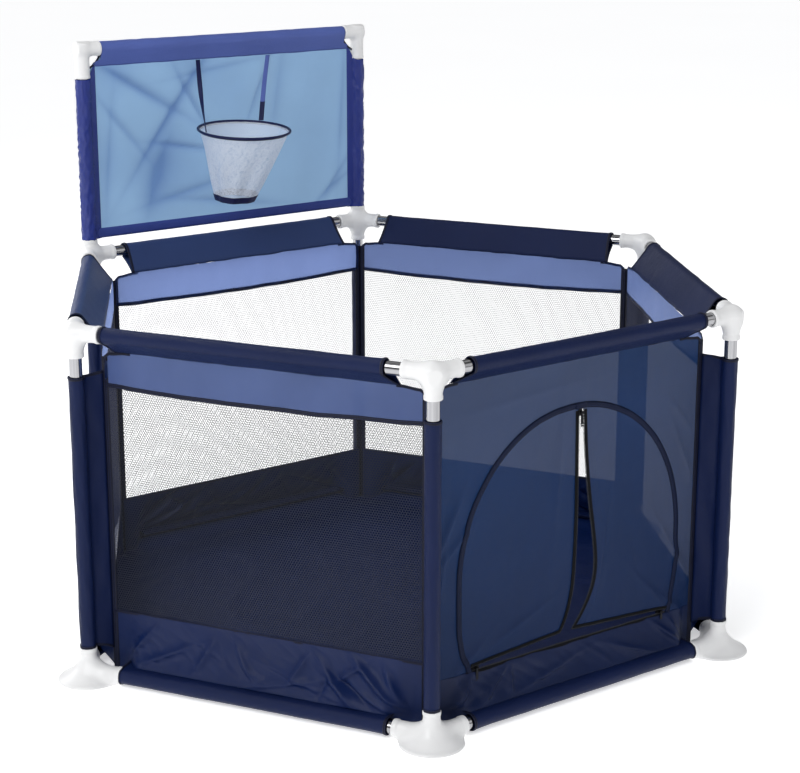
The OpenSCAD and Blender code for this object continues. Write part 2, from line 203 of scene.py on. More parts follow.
def aimed(name, data, place, target):
    """A camera or light at a place, looking at a target."""
    obj = bpy.data.objects.new(name, data)
    scene.collection.objects.link(obj)
    obj.location = place
    obj.rotation_mode = "QUATERNION"
    obj.rotation_quaternion = (Vector(target) - obj.location).to_track_quat("-Z", "Y")
    return obj


def area_light(name, place, target, size, watts):
    data = bpy.data.lights.new(name, "AREA")
    data.shape, data.size, data.size_y, data.energy = "RECTANGLE", *size, watts
    aimed(name, data, place, target)


lens = bpy.data.cameras.new("camera")
lens.lens, lens.sensor_width, lens.clip_start, lens.clip_end = 87.48, 36, 0.05, FLOOR
scene.camera = aimed("camera", lens, (-2.04785, -2.81618, 1.37889), (0.26112, 0.320576, 0.305))
scene.view_settings.view_transform = "Standard"


area_light("key", (-2.6, -1.2, 3.0), (0, 0, 0.4), (2.0, 2.0), 66)
area_light("fill", (2.6, -2.6, 2.2), (0, 0, 0.4), (2.5, 2.0), 9)
area_light("back", (-1.4, 3.2, 2.4), (0, 0, 0.5), (3.0, 1.6), 62)


def linear(r, g, b):
    """Linear colour of an sRGB colour given as 0 to 255."""
    f = lambda c: c / 12.92 if c <= 0.04045 else ((c + 0.055) / 1.055) ** 2.4
    return tuple(f(c / 255) for c in (r, g, b)) + (1.0,)


class Nodes:
    """A short way to build a node tree. A link is a pair: the output it starts from, the input's name."""

    def __init__(self, owner):
        owner.use_nodes = True
        self.owner, self.tree = owner, owner.node_tree

    def add(self, kind, links=(), **values):
        node = self.tree.nodes.new("ShaderNode" + kind)
        for key, value in values.items():
            if hasattr(node, key) and key not in node.inputs:
                setattr(node, key, value)
            else:
                node.inputs[key].default_value = value
        for source, socket in links:
            self.link(source, node.inputs[socket])
        return node

    def link(self, a, b):
        self.tree.links.new(a, b)

    def math(self, operation, *terms):
        node = self.add("Math", operation=operation)
        self.fill(node, enumerate(terms))
        return node.outputs[0]

    def mix(self, factor, a, b):
        node = self.add("Mix", data_type="RGBA")
        self.fill(node, ((0, factor), (6, a), (7, b)))
        return node.outputs[2]

    def fill(self, node, terms):
        for n, v in terms:
            if isinstance(v, (int, float, tuple)):
                node.inputs[n].default_value = v
            else:
                self.link(v, node.inputs[n])


class Finish(Nodes):
    """A material: one Principled shader, with what most of them share."""

    def __init__(self, name):
        super().__init__(bpy.data.materials.new(name))
        self.shader = self.tree.nodes["Principled BSDF"]
        self.place = self.add("NewGeometry").outputs["Position"]

    def noise(self, scale, detail=2.0, place=None, **values):
        links = [(place or self.place, "Vector")]
        return self.add("TexNoise", links, Scale=scale, Detail=detail, **values).outputs["Fac"]

    def colour(self, source):
        self.link(source, self.shader.inputs["Base Color"])

    def bump(self, height, strength, distance):
        """A bump of distance metres, also returned for a second shader."""
        out = self.add("Bump", [(height, "Height")], Strength=strength, Distance=distance).outputs[0]
        self.link(out, self.shader.inputs["Normal"])
        return out

    def roughness(self, source, span, low):
        self.link(self.math("MULTIPLY_ADD", source, span, low), self.shader.inputs["Roughness"])

    def set(self, **values):
        """Constants of the shader, with _ for each space in their names."""
        for key, value in values.items():
            self.shader.inputs[key.replace("_", " ")].default_value = value
        return self.owner


# Brightness of the studio round the pen, which only gloss sees: (share of the turn, brightness).
STUDIO = ((0.0, 0.15), (0.06, 0.9), (0.12, 0.05), (0.2, 1.0), (0.27, 0.08), (0.33, 0.7), (0.45, 0.05),
          (0.55, 1.0), (0.63, 0.1), (0.72, 0.9), (0.8, 0.06), (0.9, 1.0), (0.97, 0.15))
SOFT_LIGHT, GLOSS_LIGHT = 0.52, 0.6


def grey(v):
    return (v, v, v, 1)


def make_world():
    """Soft light, stripes for gloss, and white behind the object."""
    scene.world = bpy.data.worlds.new("studio")
    w = Nodes(scene.world)
    w.tree.nodes.clear()
    path = w.add("LightPath").outputs
    split = w.add("SeparateXYZ", [(w.add("TexCoord").outputs["Generated"], 0)]).outputs
    heading = w.math("ARCTAN2", split["Y"], split["X"])
    ramp = w.add("ValToRGB", [(w.math("MULTIPLY_ADD", heading, 1 / (2 * math.pi), 0.5), 0)])
    stops = ramp.color_ramp.elements
    for stop, (at, value) in zip(stops, (STUDIO[0], STUDIO[-1])):
        stop.position, stop.color = at, grey(value)
    for at, value in STUDIO[1:-1]:
        stops.new(at).color = grey(value)
    soft = w.add("Background", Color=(0.97, 0.98, 1.0, 1), Strength=SOFT_LIGHT)
    gloss = w.add("Background", [(ramp.outputs[0], "Color")], Strength=GLOSS_LIGHT)
    white = w.add("Background", Color=grey(1))
    lit = w.add("MixShader", [(path["Is Glossy Ray"], 0), (soft.outputs[0], 1), (gloss.outputs[0], 2)])
    seen = w.add("MixShader", [(path["Is Camera Ray"], 0), (lit.outputs[0], 1), (white.outputs[0], 2)])
    w.add("OutputWorld", [(seen.outputs[0], 0)])


make_world()

# ---------- materials ----------

WEAVE = 420.0  # bands per metre, in a UV that runs in metres
STITCH, STITCH_DASH, STITCH_OFF, STITCH_HALF = 0.0042, 0.68, 0.0018, 0.0003


def scaled(colour, k):
    return tuple(min(1.0, c * k) for c in colour[:3]) + (1.0,)


def painted_fold_shade(colour):
    """Painted shade: the darker colour a cloth is painted with where its folds and shadows fall."""
    return (colour[0] * 0.34, colour[1] * 0.44, colour[2] * 0.66, 1)


def cloth(name, colour, through=0.0, glow=None, alpha=1.0, rough=0.4, thread=None, crumple=0.5, shine=0.25):
    """Woven nylon. through is the share of light that comes through it, in the colour glow.

    With a thread colour, two lines of stitches run along it. Colours are sRGB, 0 to 255."""
    m = Finish(name)
    colour, glow, thread = (c and linear(*c) for c in (colour, glow, thread))
    uv = m.add("TexCoord").outputs["UV"]
    # painted shade: a point attribute from the mesh, 0 to 1, says how much painted shade darkens the cloth there
    painted_shade = m.math("MINIMUM", m.add("Attribute", attribute_name="painted_shade").outputs["Fac"], 1.0)
    shade = m.math("MULTIPLY_ADD", m.noise(7.0, 3.0), 0.9, 0.05)
    folds = m.noise(13.0, noise_type="RIDGED_MULTIFRACTAL", Roughness=0.35)
    threads = [m.add("TexWave", [(uv, "Vector")], bands_direction=way, Scale=WEAVE, Distortion=0.4)
               for way in "XY"]
    weave = m.math("MULTIPLY", *(wave.outputs["Fac"] for wave in threads))
    base = m.mix(shade, scaled(colour, 0.8), scaled(colour, 1.22))
    base = m.mix(m.math("MULTIPLY", weave, 0.14), base, scaled(colour, 1.5))
    # painted shade: the colour darkens towards its painted fold shade
    base = m.mix(painted_shade, base, painted_fold_shade(colour))
    height = m.math("ADD", m.math("MULTIPLY", weave, 0.25), m.noise(60.0))
    height = m.math("ADD", height, m.math("MULTIPLY", folds, crumple * 5))
    if thread:
        split = m.add("SeparateXYZ", [(uv, "Vector")]).outputs
        dash = m.math("LESS_THAN", m.math("FRACT", m.math("MULTIPLY", split[0], 1 / STITCH)), STITCH_DASH)
        off = m.math("ABSOLUTE", m.math("SUBTRACT", m.math("ABSOLUTE", split[1]), STITCH_OFF))
        stitches = m.math("MULTIPLY", dash, m.math("LESS_THAN", off, STITCH_HALF))
        base = m.mix(stitches, base, thread)
        height = m.math("ADD", height, stitches)
    m.colour(base)
    normal = m.bump(height, 0.5, 0.0012)
    if through:
        # the light through the cloth is darkened by the same painted shade
        tint = m.mix(painted_shade, m.mix(shade, scaled(glow, 0.88), scaled(glow, 1.1)), painted_fold_shade(glow))
        lit = m.add("BsdfTranslucent", [(normal, "Normal"), (tint, "Color")])
        both = m.add("MixShader", [(m.shader.outputs[0], 1), (lit.outputs[0], 2)])
        both.inputs[0].default_value = through
        m.link(both.outputs[0], m.tree.nodes["Material Output"].inputs[0])
    return m.set(Roughness=rough, Specular_IOR_Level=shine, Alpha=alpha,
                 Sheen_Weight=0.015, Sheen_Roughness=0.4, Sheen_Tint=scaled(colour, 2.5))


def netting(name, colour):
    m, colour = Finish(name), linear(*colour)
    twist = m.noise(900.0, 1.0)
    m.colour(m.mix(twist, scaled(colour, 0.75), scaled(colour, 1.25)))
    m.bump(twist, 0.4, 0.0003)
    return m.set(Roughness=0.6)


def plastic(name, colour, rough=0.34):
    m, colour = Finish(name), linear(*colour)
    grain = m.noise(520.0)
    m.colour(m.mix(m.noise(18.0), scaled(colour, 0.95), scaled(colour, 1.03)))
    m.roughness(grain, 0.12, rough - 0.06)
    m.bump(grain, 0.12, 0.0003)
    return m.set(Specular_IOR_Level=0.45)


def steel(name, angle=None):
    """Drawn tube; angle is the heading of a level tube in degrees, None for an upright one. Its colour carries
    lengthwise streaks, partly the grain of drawn steel and partly painted reflections.
    """
    m = Finish(name)
    level = angle is not None
    turned = m.add("Mapping", [(m.place, "Vector")], Rotation=(0, 0, -math.radians(angle) if level else 0))
    drawn = (1.5, 320, 320) if level else (320, 320, 1.5)
    lines = m.noise(1.0, 3.0, m.add("Mapping", [(turned.outputs[0], "Vector")], Scale=drawn).outputs[0])
    # painted reflection: the dark and bright bands along the tube stand in for the studio reflected in it, over the
    # drawn grain
    m.colour(m.mix(lines, (0.26, 0.26, 0.28, 1), (0.56, 0.56, 0.57, 1)))
    m.roughness(lines, 0.1, 0.07)
    m.bump(lines, 0.2, 0.0001)
    return m.set(Metallic=1.0)


def dark_finish(name, colour, rough, metallic):
    """Blackened metal, or rubber with metallic at 0."""
    m, colour = Finish(name), linear(*colour)
    spot = m.noise(700.0, 3.0)
    m.colour(m.mix(spot, scaled(colour, 0.6), scaled(colour, 1.5)))
    m.roughness(spot, 0.2, rough - 0.1)
    m.bump(spot, 0.2, 0.0003)
    return m.set(Metallic=metallic)


NAVY = cloth("navy_cloth", (15, 28, 66), shine=0.16)
# a lighter copy of the tunnel navy: painted light for the top tunnels of the back and back-left sides, where the back
# light falls
PAINTED_LIT_NAVY = cloth("pale_tunnel_cloth", (42, 60, 104), crumple=0.9)
SKIRT = cloth("skirt_cloth", (11, 29, 72), crumple=1.0, rough=0.32)
BAND = cloth("band_cloth", (24, 44, 92), through=0.55, glow=(148, 172, 234), alpha=0.98)
DOOR = cloth("door_cloth", (6, 22, 58), through=0.16, glow=(62, 122, 200), alpha=0.957, shine=0.2)
SILL = cloth("sill_cloth", (14, 29, 66), crumple=1.0, rough=0.32)
PANEL = cloth("board_cloth", (92, 126, 170), through=0.5, glow=(146, 182, 214), alpha=0.965)
BOARD_EDGE = cloth("board_tunnel_cloth", (22, 42, 124), crumple=1.2, rough=0.26, shine=0.5)
BOARD_TOP = cloth("board_top_cloth", (84, 102, 172), through=0.1, glow=(120, 135, 200))
BOARD_HEM_CLOTH = cloth("board_hem_cloth", (48, 64, 134), crumple=0.9)
HOOP_NAVY = cloth("hoop_binding_cloth", (16, 22, 66))
BINDING = cloth("binding", (10, 14, 34), thread=(36, 44, 84), rough=0.55, crumple=0.1)
ARCH = cloth("arch_binding", (9, 19, 46), thread=(24, 38, 76), rough=0.5, crumple=0.1, shine=0.15)
TAPE = cloth("zip_tape", (7, 8, 12), thread=(28, 30, 38), rough=0.7, shine=0.12)
TEETH = dark_finish("zip_teeth", (34, 35, 40), 0.4, 0.2)
METAL = dark_finish("zip_metal", (30, 30, 34), 0.35, 0.8)
RUBBER = dark_finish("rubber", (24, 24, 26), 0.7, 0.0)
DARK_NET = netting("dark_net", (34, 36, 44))
WHITE_NET = netting("white_net", (216, 224, 246))
PLASTIC = plastic("white_plastic", (229, 229, 229))


# ---------- noise, folds and places ----------

dice = np.random.default_rng(7)
PERM = dice.permutation(256)
SPIN = dice.normal(size=(256, 3))
SPIN /= np.linalg.norm(SPIN, axis=1)[:, None]


def noise(x, y, z=0.0):
    """Smooth noise from about -1 to 1 at each point."""
    p = np.stack(np.broadcast_arrays(x, y, z), -1).astype(float)
    i = np.floor(p).astype(int)
    f = p - i
    u = f * f * f * (f * (f * 6 - 15) + 10)
    total = 0
    for a in (0, 1):
        for b in (0, 1):
            for c in (0, 1):
                key = PERM[(PERM[(PERM[(i[..., 0] + a) & 255] + i[..., 1] + b) & 255] + i[..., 2] + c) & 255]
                w = 1.0
                for n, s in ((0, a), (1, b), (2, c)):
                    w = w * (u[..., n] if s else 1 - u[..., n])
                total = total + w * (SPIN[key] * (f - (a, b, c))).sum(-1)
    return total * 1.5


def smooth(t):
    t = np.clip(t, 0, 1)
    return t * t * (3 - 2 * t)


def fold(s, z, s0, z0, heading, length, width, depth):
    """A fold through (s0, z0) at a heading in degrees."""
    c, n = math.cos(math.radians(heading)), math.sin(math.radians(heading))
    along, across = (s - s0) * c + (z - z0) * n, -(s - s0) * n + (z - z0) * c
    return depth * np.exp(-np.abs(across / width) ** 1.25) * np.exp(-((2 * along / length) ** 2))


def creases(*rows):
    """A table of folds in metres, from rows of s0, z0, heading in degrees, length, width and depth in mm."""
    return [(*(v / 1000 for v in row[:2]), row[2], *(v / 1000 for v in row[3:])) for row in rows]


def turned(degrees, x, y, z):
    """Points turned about the middle of the pen."""
    a = math.radians(degrees)
    x, y, z = np.broadcast_arrays(np.asarray(x, float), y, z)
    return np.stack([math.cos(a) * x - math.sin(a) * y, math.sin(a) * x + math.cos(a) * y, z], -1)


def at_side(k, s, o, z):
    """Points of side k: s along it, o outward from the middle, z up."""
    return turned(60 * k, s, -np.asarray(o, float), z)


def at_corner(i, x, y, z):
    """Points drawn about post i, with -y outward."""
    return turned(60 * i + 30, x, np.asarray(y, float) - SIDE, z)


def circle(radius, a):
    return radius * np.stack([np.cos(a), np.sin(a)], -1)


def units(v):
    return v / np.linalg.norm(v, axis=-1, keepdims=True)


def grid(u, v):
    return np.meshgrid(u, v, indexing="ij")


def line(a, b, step):
    return np.linspace(a, b, max(2, int(round(abs(b - a) / step)) + 1))


def at_front(x, o, z):
    """Points of the door's side."""
    return at_side(0, x, o, z)


UP, FRONT = np.array([0, 0, 1.0]), np.array([0, -1.0, 0])


# ---------- mesh building ----------


def mesh_object(name, points, faces, material, uv=None):
    mesh = bpy.data.meshes.new(name)
    mesh.from_pydata(np.asarray(points).reshape(-1, 3).tolist(), [], faces)
    mesh.shade_smooth()
    if uv is not None:
        layer = mesh.uv_layers.new(name="cloth")
        corner = np.zeros(len(mesh.loops), np.int32)
        mesh.loops.foreach_get("vertex_index", corner)
        layer.data.foreach_set("uv", np.asarray(uv, np.float32).reshape(-1, 2)[corner].ravel())
    mesh.materials.append(material)
    obj = bpy.data.objects.new(name, mesh)
    scene.collection.objects.link(obj)
    return obj


def thicken(obj, t):
    mod = obj.modifiers.new("thickness", "SOLIDIFY")
    mod.thickness, mod.offset = t, 0
    return obj


def sheet_mesh(name, points, material, thick=0.0008, uv=None, painted_shade=None):
    """A cloth from a grid of points. Its UV runs in metres along and across the cloth."""
    nu, nv = points.shape[:2]
    index = np.arange(nu * nv).reshape(nu, nv)
    faces = np.stack([index[:-1, :-1], index[1:, :-1], index[1:, 1:], index[:-1, 1:]], -1).reshape(-1, 4)
    du = np.linalg.norm(np.diff(points, axis=0), axis=-1).mean(1)
    dv = np.linalg.norm(np.diff(points, axis=1), axis=-1).mean(0)
    u, v = np.concatenate([[0], np.cumsum(du)]), np.concatenate([[0], np.cumsum(dv)])
    v = v - v[-1] / 2
    if uv is None:
        uv = np.stack(np.meshgrid(u, v, indexing="ij"), -1)
    obj = mesh_object(name, points, faces.tolist(), material, uv)
    # painted shade: a share per point, kept as an attribute that the cloth's material reads
    if painted_shade is not None:
        data = obj.data.attributes.new("painted_shade", "FLOAT", "POINT").data
        data.foreach_set("value", np.clip(painted_shade, 0, 1).astype(np.float32).ravel())
    return thicken(obj, thick) if thick else obj


def ribbon(name, path, across, width, material, lift=None, crown=0.0005, thick=0.0006, columns=5):
    """A strip along a path. across is the direction of its width, for all of it or for each point."""
    path = np.asarray(path, float)
    across = units(np.broadcast_to(np.asarray(across, float), path.shape))
    along = np.gradient(path, axis=0)
    along /= np.maximum(np.linalg.norm(along, axis=-1, keepdims=True), 1e-9)
    out = np.cross(across, along)
    if lift is not None:
        out = out * np.sign((out * lift).sum(-1, keepdims=True))
    t = np.linspace(-1, 1, columns)
    points = (path[:, None] + across[:, None] * (t * width / 2)[None, :, None]
              + out[:, None] * (crown * (1 - t * t))[None, :, None])
    return sheet_mesh(name, points, material, thick)


def join(name, objs):
    """One object from several, with their modifiers applied."""
    dg = bpy.context.evaluated_depsgraph_get()
    points, faces, uvs, materials, which, start = [], [], [], [], [], 0
    for o in objs:
        mesh = bpy.data.meshes.new_from_object(o.evaluated_get(dg))
        co = np.zeros(len(mesh.vertices) * 3)
        mesh.vertices.foreach_get("co", co)
        points.append(co.reshape(-1, 3))
        faces += [[v + start for v in p.vertices] for p in mesh.polygons]
        uvs.append(np.zeros(len(mesh.loops) * 2))
        if mesh.uv_layers:
            mesh.uv_layers[0].data.foreach_get("uv", uvs[-1])
        material = o.data.materials[0]
        if material not in materials:
            materials.append(material)
        which += [materials.index(material)] * len(mesh.polygons)
        start += len(mesh.vertices)
        bpy.data.objects.remove(o)
    obj = mesh_object(name, np.concatenate(points), faces, materials[0])
    layer = obj.data.uv_layers.new(name="cloth")
    layer.data.foreach_set("uv", np.concatenate(uvs).astype(np.float32))
    for material in materials[1:]:
        obj.data.materials.append(material)
    obj.data.polygons.foreach_set("material_index", which)
    return obj


def hex_net(name, columns, rows, pitch, thread, place, material, keep):
    """Knotless netting with six-sided holes: flat threads that share their corners at each meeting.

    Each cell has two meetings, of three corners each: 0 to 2 in the lower one and 3 to 5 in the upper one."""
    edge = pitch / math.sqrt(3)
    i, j = [a.ravel() for a in grid(np.arange(columns), np.arange(rows))]
    ax, ay = i * pitch + (j % 2) * pitch / 2, j * 1.5 * edge
    reach = thread / 2 / math.sin(math.radians(60))
    spots = [(ax + reach * math.cos(math.radians(a)), cy + reach * math.sin(math.radians(a)))
             for cy, angles in ((ay, (30, 150, 270)), (ay + edge, (90, 210, 330))) for a in angles]
    flat = np.stack([np.stack(spot, -1) for spot in spots], 1).reshape(-1, 2)
    cell = np.arange(columns * rows)

    def other(step):
        """The cell below and to one side, or -1."""
        ci, cj = i + step + (j % 2), j - 1
        return np.where((cj >= 0) & (ci >= 0) & (ci < columns), ci * rows + cj, -1)

    def corners(*pairs):
        return np.stack([6 * where + n for where, n in pairs], -1)

    right, left = other(0), other(-1)
    quads = np.concatenate([
        corners((cell, 0), (cell, 5), (cell, 4), (cell, 1)),
        corners((cell, 2), (right, 4), (right, 3), (cell, 0))[right >= 0],
        corners((cell, 1), (left, 3), (left, 5), (cell, 2))[left >= 0]])
    tris = np.concatenate([corners(*((cell, n + m) for n in range(3))) for m in (0, 3)])
    good = keep(flat[:, 0], flat[:, 1])
    quads, tris = quads[good[quads].all(1)], tris[good[tris].all(1)]
    used = np.unique(np.concatenate([quads.ravel(), tris.ravel()]))
    new = np.full(len(flat), -1)
    new[used] = np.arange(len(used))
    points = place(flat[used, 0], flat[used, 1])
    return mesh_object(name, points, new[quads].tolist() + new[tris].tolist(), material)


# ---------- moulded plastic, from distance fields ----------


def blend_min(a, b, k):
    h = np.maximum(k - np.abs(a - b), 0) / k
    return np.minimum(a, b) - h * h * k / 4


def rod(p, start, heading, length, radius, rounding=0.0008):
    """Distance to a rod with rounded rims."""
    heading = np.array(heading, float)
    heading /= np.linalg.norm(heading)
    q = [p[n] - start[n] for n in range(3)]
    t = sum(q[n] * heading[n] for n in range(3))
    radial = np.sqrt(np.maximum(sum(c * c for c in q) - t * t, 0))
    dx, dy = radial - radius + rounding, np.abs(t - length / 2) - length / 2 + rounding
    return np.minimum(np.maximum(dx, dy), 0) + np.hypot(np.maximum(dx, 0), np.maximum(dy, 0)) - rounding


def from_field(name, field, low, high, step, material):
    count = [int(math.ceil((high[n] - low[n]) / step)) + 1 for n in range(3)]
    axes = [low[n] + step * np.arange(count[n]) for n in range(3)]
    p = np.meshgrid(*axes, indexing="ij")
    values = field(p).astype(np.float32) / step
    grid = vdb.FloatGrid(background=3.0)
    grid.copyFromArray(values)
    points, quads = grid.convertToQuads(isovalue=0.0)
    points = points * step + np.array(low)
    a, b, c = points[quads[:, 0]], points[quads[:, 1]], points[quads[:, 2]]
    volume = (a * np.cross(b, c)).sum()
    return mesh_object(name, points, (quads if volume > 0 else quads[:, ::-1]).tolist(), material)


def socket(p, d, heading, length, fillet):
    """Adds a socket with a thickened mouth to the field d."""
    d = blend_min(d, rod(p, (0, 0, 0), heading, length, SOCKET_R), fillet)
    heading = np.array(heading) / np.linalg.norm(heading)
    return lip(d, p, heading, length, 0.006, 0.0007, 0.0012)


def lip(d, p, heading, end, length, proud, rounding):
    """Adds the thickened mouth, the last part of a socket that reaches to end."""
    start = np.array(heading) * (end - length)
    return blend_min(d, rod(p, start, heading, length, SOCKET_R + proud, rounding), 0.003)


RAILS = [(math.sin(math.radians(60)), 0.5, 0), (-math.sin(math.radians(60)), 0.5, 0)]


def fitting_field(upward):
    def field(p):
        d = np.sqrt(p[0] ** 2 + p[1] ** 2 + p[2] ** 2) - (SOCKET_R + 0.001)
        for r in RAILS:
            d = socket(p, d, r, 0.050, 0.012)
        d = socket(p, d, (0, 0, -1), 0.042, 0.022)
        if upward:
            d = socket(p, d, (0, 0, 1), 0.030, 0.014)
        for r in RAILS:
            d = np.maximum(d, -rod(p, np.array(r) * STOP, r, 0.05, BORE_R, 0))
        top = 0.031 if upward else -STOP
        return np.maximum(d, -rod(p, (0, 0, -0.043), (0, 0, 1), 0.043 + top, BORE_R, 0))
    return field


FOOT_R, FOOT_UNDER = 0.054, 0.002


def foot_field(p):
    q = [p[0], p[1], p[2] - BOTTOM_Z]
    radial = np.sqrt(p[0] ** 2 + p[1] ** 2)
    t = np.clip((FOOT_R - radial) / (FOOT_R - SOCKET_R), 0, 1)
    dome = (p[2] - (FOOT_UNDER + 0.004 + 0.020 * np.sin(t * math.pi / 2) ** 1.7)) * 0.85
    edge = radial - FOOT_R
    h = np.maximum(0.004 - np.abs(dome - edge), 0) / 0.004
    d = np.maximum(dome, edge) + h * h * 0.001
    d = blend_min(d, rod(q, (0, 0, 0), (0, 0, 1), 0.042, SOCKET_R), 0.020)
    d = lip(d, q, (0, 0, 1), 0.042, 0.006, 0.0007, 0.0012)
    for r in RAILS:
        d = blend_min(d, rod(q, (0, 0, 0), r, 0.066, SOCKET_R), 0.016)
        d = lip(d, q, r, 0.066, 0.008, 0.0012, 0.0015)
    d = np.maximum(d, FOOT_UNDER - p[2])
    for r in RAILS:
        d = np.maximum(d, -rod(q, np.array(r) * STOP, r, 0.06, BORE_R, 0))
    return np.maximum(d, -rod(p, (0, 0, 0.031), (0, 0, 1), 0.05, BORE_R, 0))


def elbow_field(p):
    back = SOCKET_R * 0.86
    d = rod(p, (0, 0, back), (0, 0, -1), 0.055 + back, SOCKET_R, 0.0016)
    d = blend_min(d, rod(p, (-back, 0, 0), (1, 0, 0), 0.036 + back, SOCKET_R, 0.0016), 0.007)
    for heading, length in (((0, 0, -1), 0.055), ((1, 0, 0), 0.036)):
        mouth = rod(p, np.array(heading) * (length - 0.005), heading, 0.005, SOCKET_R + 0.0004, 0.001)
        d = blend_min(d, mouth, 0.002)
    d = np.maximum(d, -rod(p, (0, 0, -0.056), (0, 0, 1), 0.056 - STOP, BORE_R, 0))
    return np.maximum(d, -rod(p, (STOP, 0, 0), (1, 0, 0), 0.036, BORE_R, 0))


def placed(name, mesh, matrix):
    obj = bpy.data.objects.new(name, mesh.copy())
    scene.collection.objects.link(obj)
    m = np.array(matrix, float)
    co = np.zeros(len(obj.data.vertices) * 3)
    obj.data.vertices.foreach_get("co", co)
    co = co.reshape(-1, 3) @ m[:3, :3].T + m[:3, 3]
    obj.data.vertices.foreach_set("co", co.astype(np.float32).ravel())
    if np.linalg.det(m[:3, :3]) < 0:
        obj.data.flip_normals()
    obj.data.update()
    return obj


def corner_matrix(i, z):
    a = math.radians(60 * i + 30)
    c, s = math.cos(a), math.sin(a)
    return [[c, -s, 0, s * SIDE], [s, c, 0, -c * SIDE], [0, 0, 1, z], [0, 0, 0, 1]]


def ride(obj, body="playpen", replaced=(), material_slot="navy_cloth"):
    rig.ride(obj, body)
    if replaced:
        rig.replaces(obj, *replaced)
    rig.slot(obj, material_slot)
    return obj


def make_plastic():
    low = (-0.062, -0.018, -0.046)
    forms = [from_field(*row, PLASTIC) for row in (
        ("fitting3", fitting_field(False), low, (0.062, 0.043, 0.018), 0.0011),
        ("fitting4", fitting_field(True), low, (0.062, 0.043, 0.034), 0.0011),
        ("foot_form", foot_field, (-0.076, -0.058, -0.001), (0.076, 0.058, 0.062), 0.0012),
        ("elbow_form", elbow_field, (-0.018, -0.018, -0.059), (0.040, 0.018, 0.018), 0.0011))]
    three_way, four_way, foot, elbow = (form.data for form in forms)
    for i, c in enumerate(CORNERS):
        fitting = placed("fitting_" + c, four_way if i in (2, 3) else three_way, corner_matrix(i, TOP_Z))
        ride(fitting, "playpen", ["top_fitting_" + c], "white_plastic")
        shell = placed("foot_shell_" + c, foot, corner_matrix(i, 0))
        ride(shell, "playpen", ["foot_" + c], "white_plastic")
    for side, word in ((-1, "left"), (1, "right")):
        matrix = [[-side, 0, 0, side * SIDE / 2], [0, 1, 0, RAIL_A], [0, 0, 1, BOARD_Z], [0, 0, 0, 1]]
        ride(placed("elbow_" + word, elbow, matrix), "backboard", ["board_elbow_" + word], "white_plastic")
    for form in forms:
        bpy.data.objects.remove(form)


make_plastic()

# ---------- carried CAD nodes ----------

UPRIGHT = steel("steel_upright")
LEVEL = {heading: steel(f"steel_{heading}", heading) for heading in (0, 60, 120)}


def dress(node, material):
    obj = frame["nodes"][node]
    obj.data.materials.clear()
    obj.data.materials.append(material)
    obj.data.shade_smooth()
    obj.modifiers.new("edges", "EDGE_SPLIT").split_angle = math.radians(35)


for c in CORNERS:
    dress("post_" + c, UPRIGHT)
for k, s in enumerate(SIDES):
    dress("top_rail_" + s, LEVEL[60 * k % 180])
    dress("bottom_rail_" + s, LEVEL[60 * k % 180])
dress("board_post_left", UPRIGHT)
dress("board_post_right", UPRIGHT)
dress("board_top_tube", LEVEL[0])
dress("foot_pads", RUBBER)
for where in ("upright", "left", "right"):
    dress("zip_slider_" + where, METAL)
    dress("zip_pull_" + where, METAL)


# ---------- walls ----------


def low_edge(k, s):
    """Height of the band's lower edge: it sags a little between its seams."""
    sag = 0.006 * np.cos(math.pi * s / (2 * PANEL_HALF))
    return BAND_LOW + 0.003 - sag + 0.0015 * noise(s * 14, k * 3.7)


def wall_out(k, s, z):
    """How far out the wall stands: its plane, with a little drape."""
    edge = np.clip((PANEL_HALF - np.abs(s)) / 0.05, 0, 1)
    drape = 0.0022 * noise(s * 9 + 5 * k, z * 3, k) + 0.0012 * noise(s * 30, z * 8 + 9, k + 4)
    return WALL_FACE + edge * drape


def top_edge(s):
    """Height of the wall's upper edge: level under the tunnel, dipping to the corner."""
    return WALL_TOP - 0.003 * smooth((np.abs(s) - 0.25) / 0.03) - 0.006 * smooth((np.abs(s) - 0.281) / 0.009)


def make_band(k):
    s, t = grid(line(-PANEL_HALF, PANEL_HALF, 0.006), np.linspace(0, 1, 14))
    z = low_edge(k, s) + t * (top_edge(s) - low_edge(k, s))
    o = wall_out(k, s, z) + 0.0035 * np.sin(math.pi * t) * noise(s * 22, z * 6, k + 20) * (0.4 + 0.6 * t)
    obj = ride(sheet_mesh("band_" + SIDES[k], at_side(k, s, o, z), BAND, 0), "playpen", ["wall_cloth"])
    s = line(-PANEL_HALF, PANEL_HALF, 0.004)
    z = low_edge(k, s)
    path = at_side(k, s, wall_out(k, s, z) + 0.0008, z + 0.003)
    return obj, ride(ribbon("band_hem_" + SIDES[k], path, UP, 0.0075, BINDING))


FOLDS = {
    5: creases(
        (215, 70, -38, 170, 6, 12), (180, 50, -30, 150, 5, -8), (100, 50, -14, 200, 6, 5),
        (145, 60, -42, 130, 7, 11), (250, 55, -58, 100, 6, 9), (-200, 50, 24, 140, 6, 7),
        (-240, 60, 50, 100, 6, 7), (30, 45, 12, 160, 5, 6), (225, 40, -22, 100, 4, 8),
        (70, 75, 62, 60, 6, 6), (-30, 70, -50, 80, 6, 6), (-110, 60, 60, 70, 7, 6), (115, 45, 74, 50, 5, -6),
        (165, 85, 35, 60, 4, 6)),
    0: creases(
        (-235, 55, 45, 100, 6, 9), (-190, 45, 30, 120, 5, 8), (220, 50, -42, 120, 6, 9),
        (245, 45, -60, 90, 5, 8), (150, 40, -20, 140, 5, 6), (-80, 45, 10, 180, 5, 5),
        (-140, 50, 62, 60, 6, 6), (60, 50, -40, 80, 6, 5), (-240, 35, 15, 90, 4, -6)),
}


def between_feet(s):
    """1 along the middle of a side, falling to 0 where the feet stand."""
    return smooth((0.276 - np.abs(s)) / 0.05)


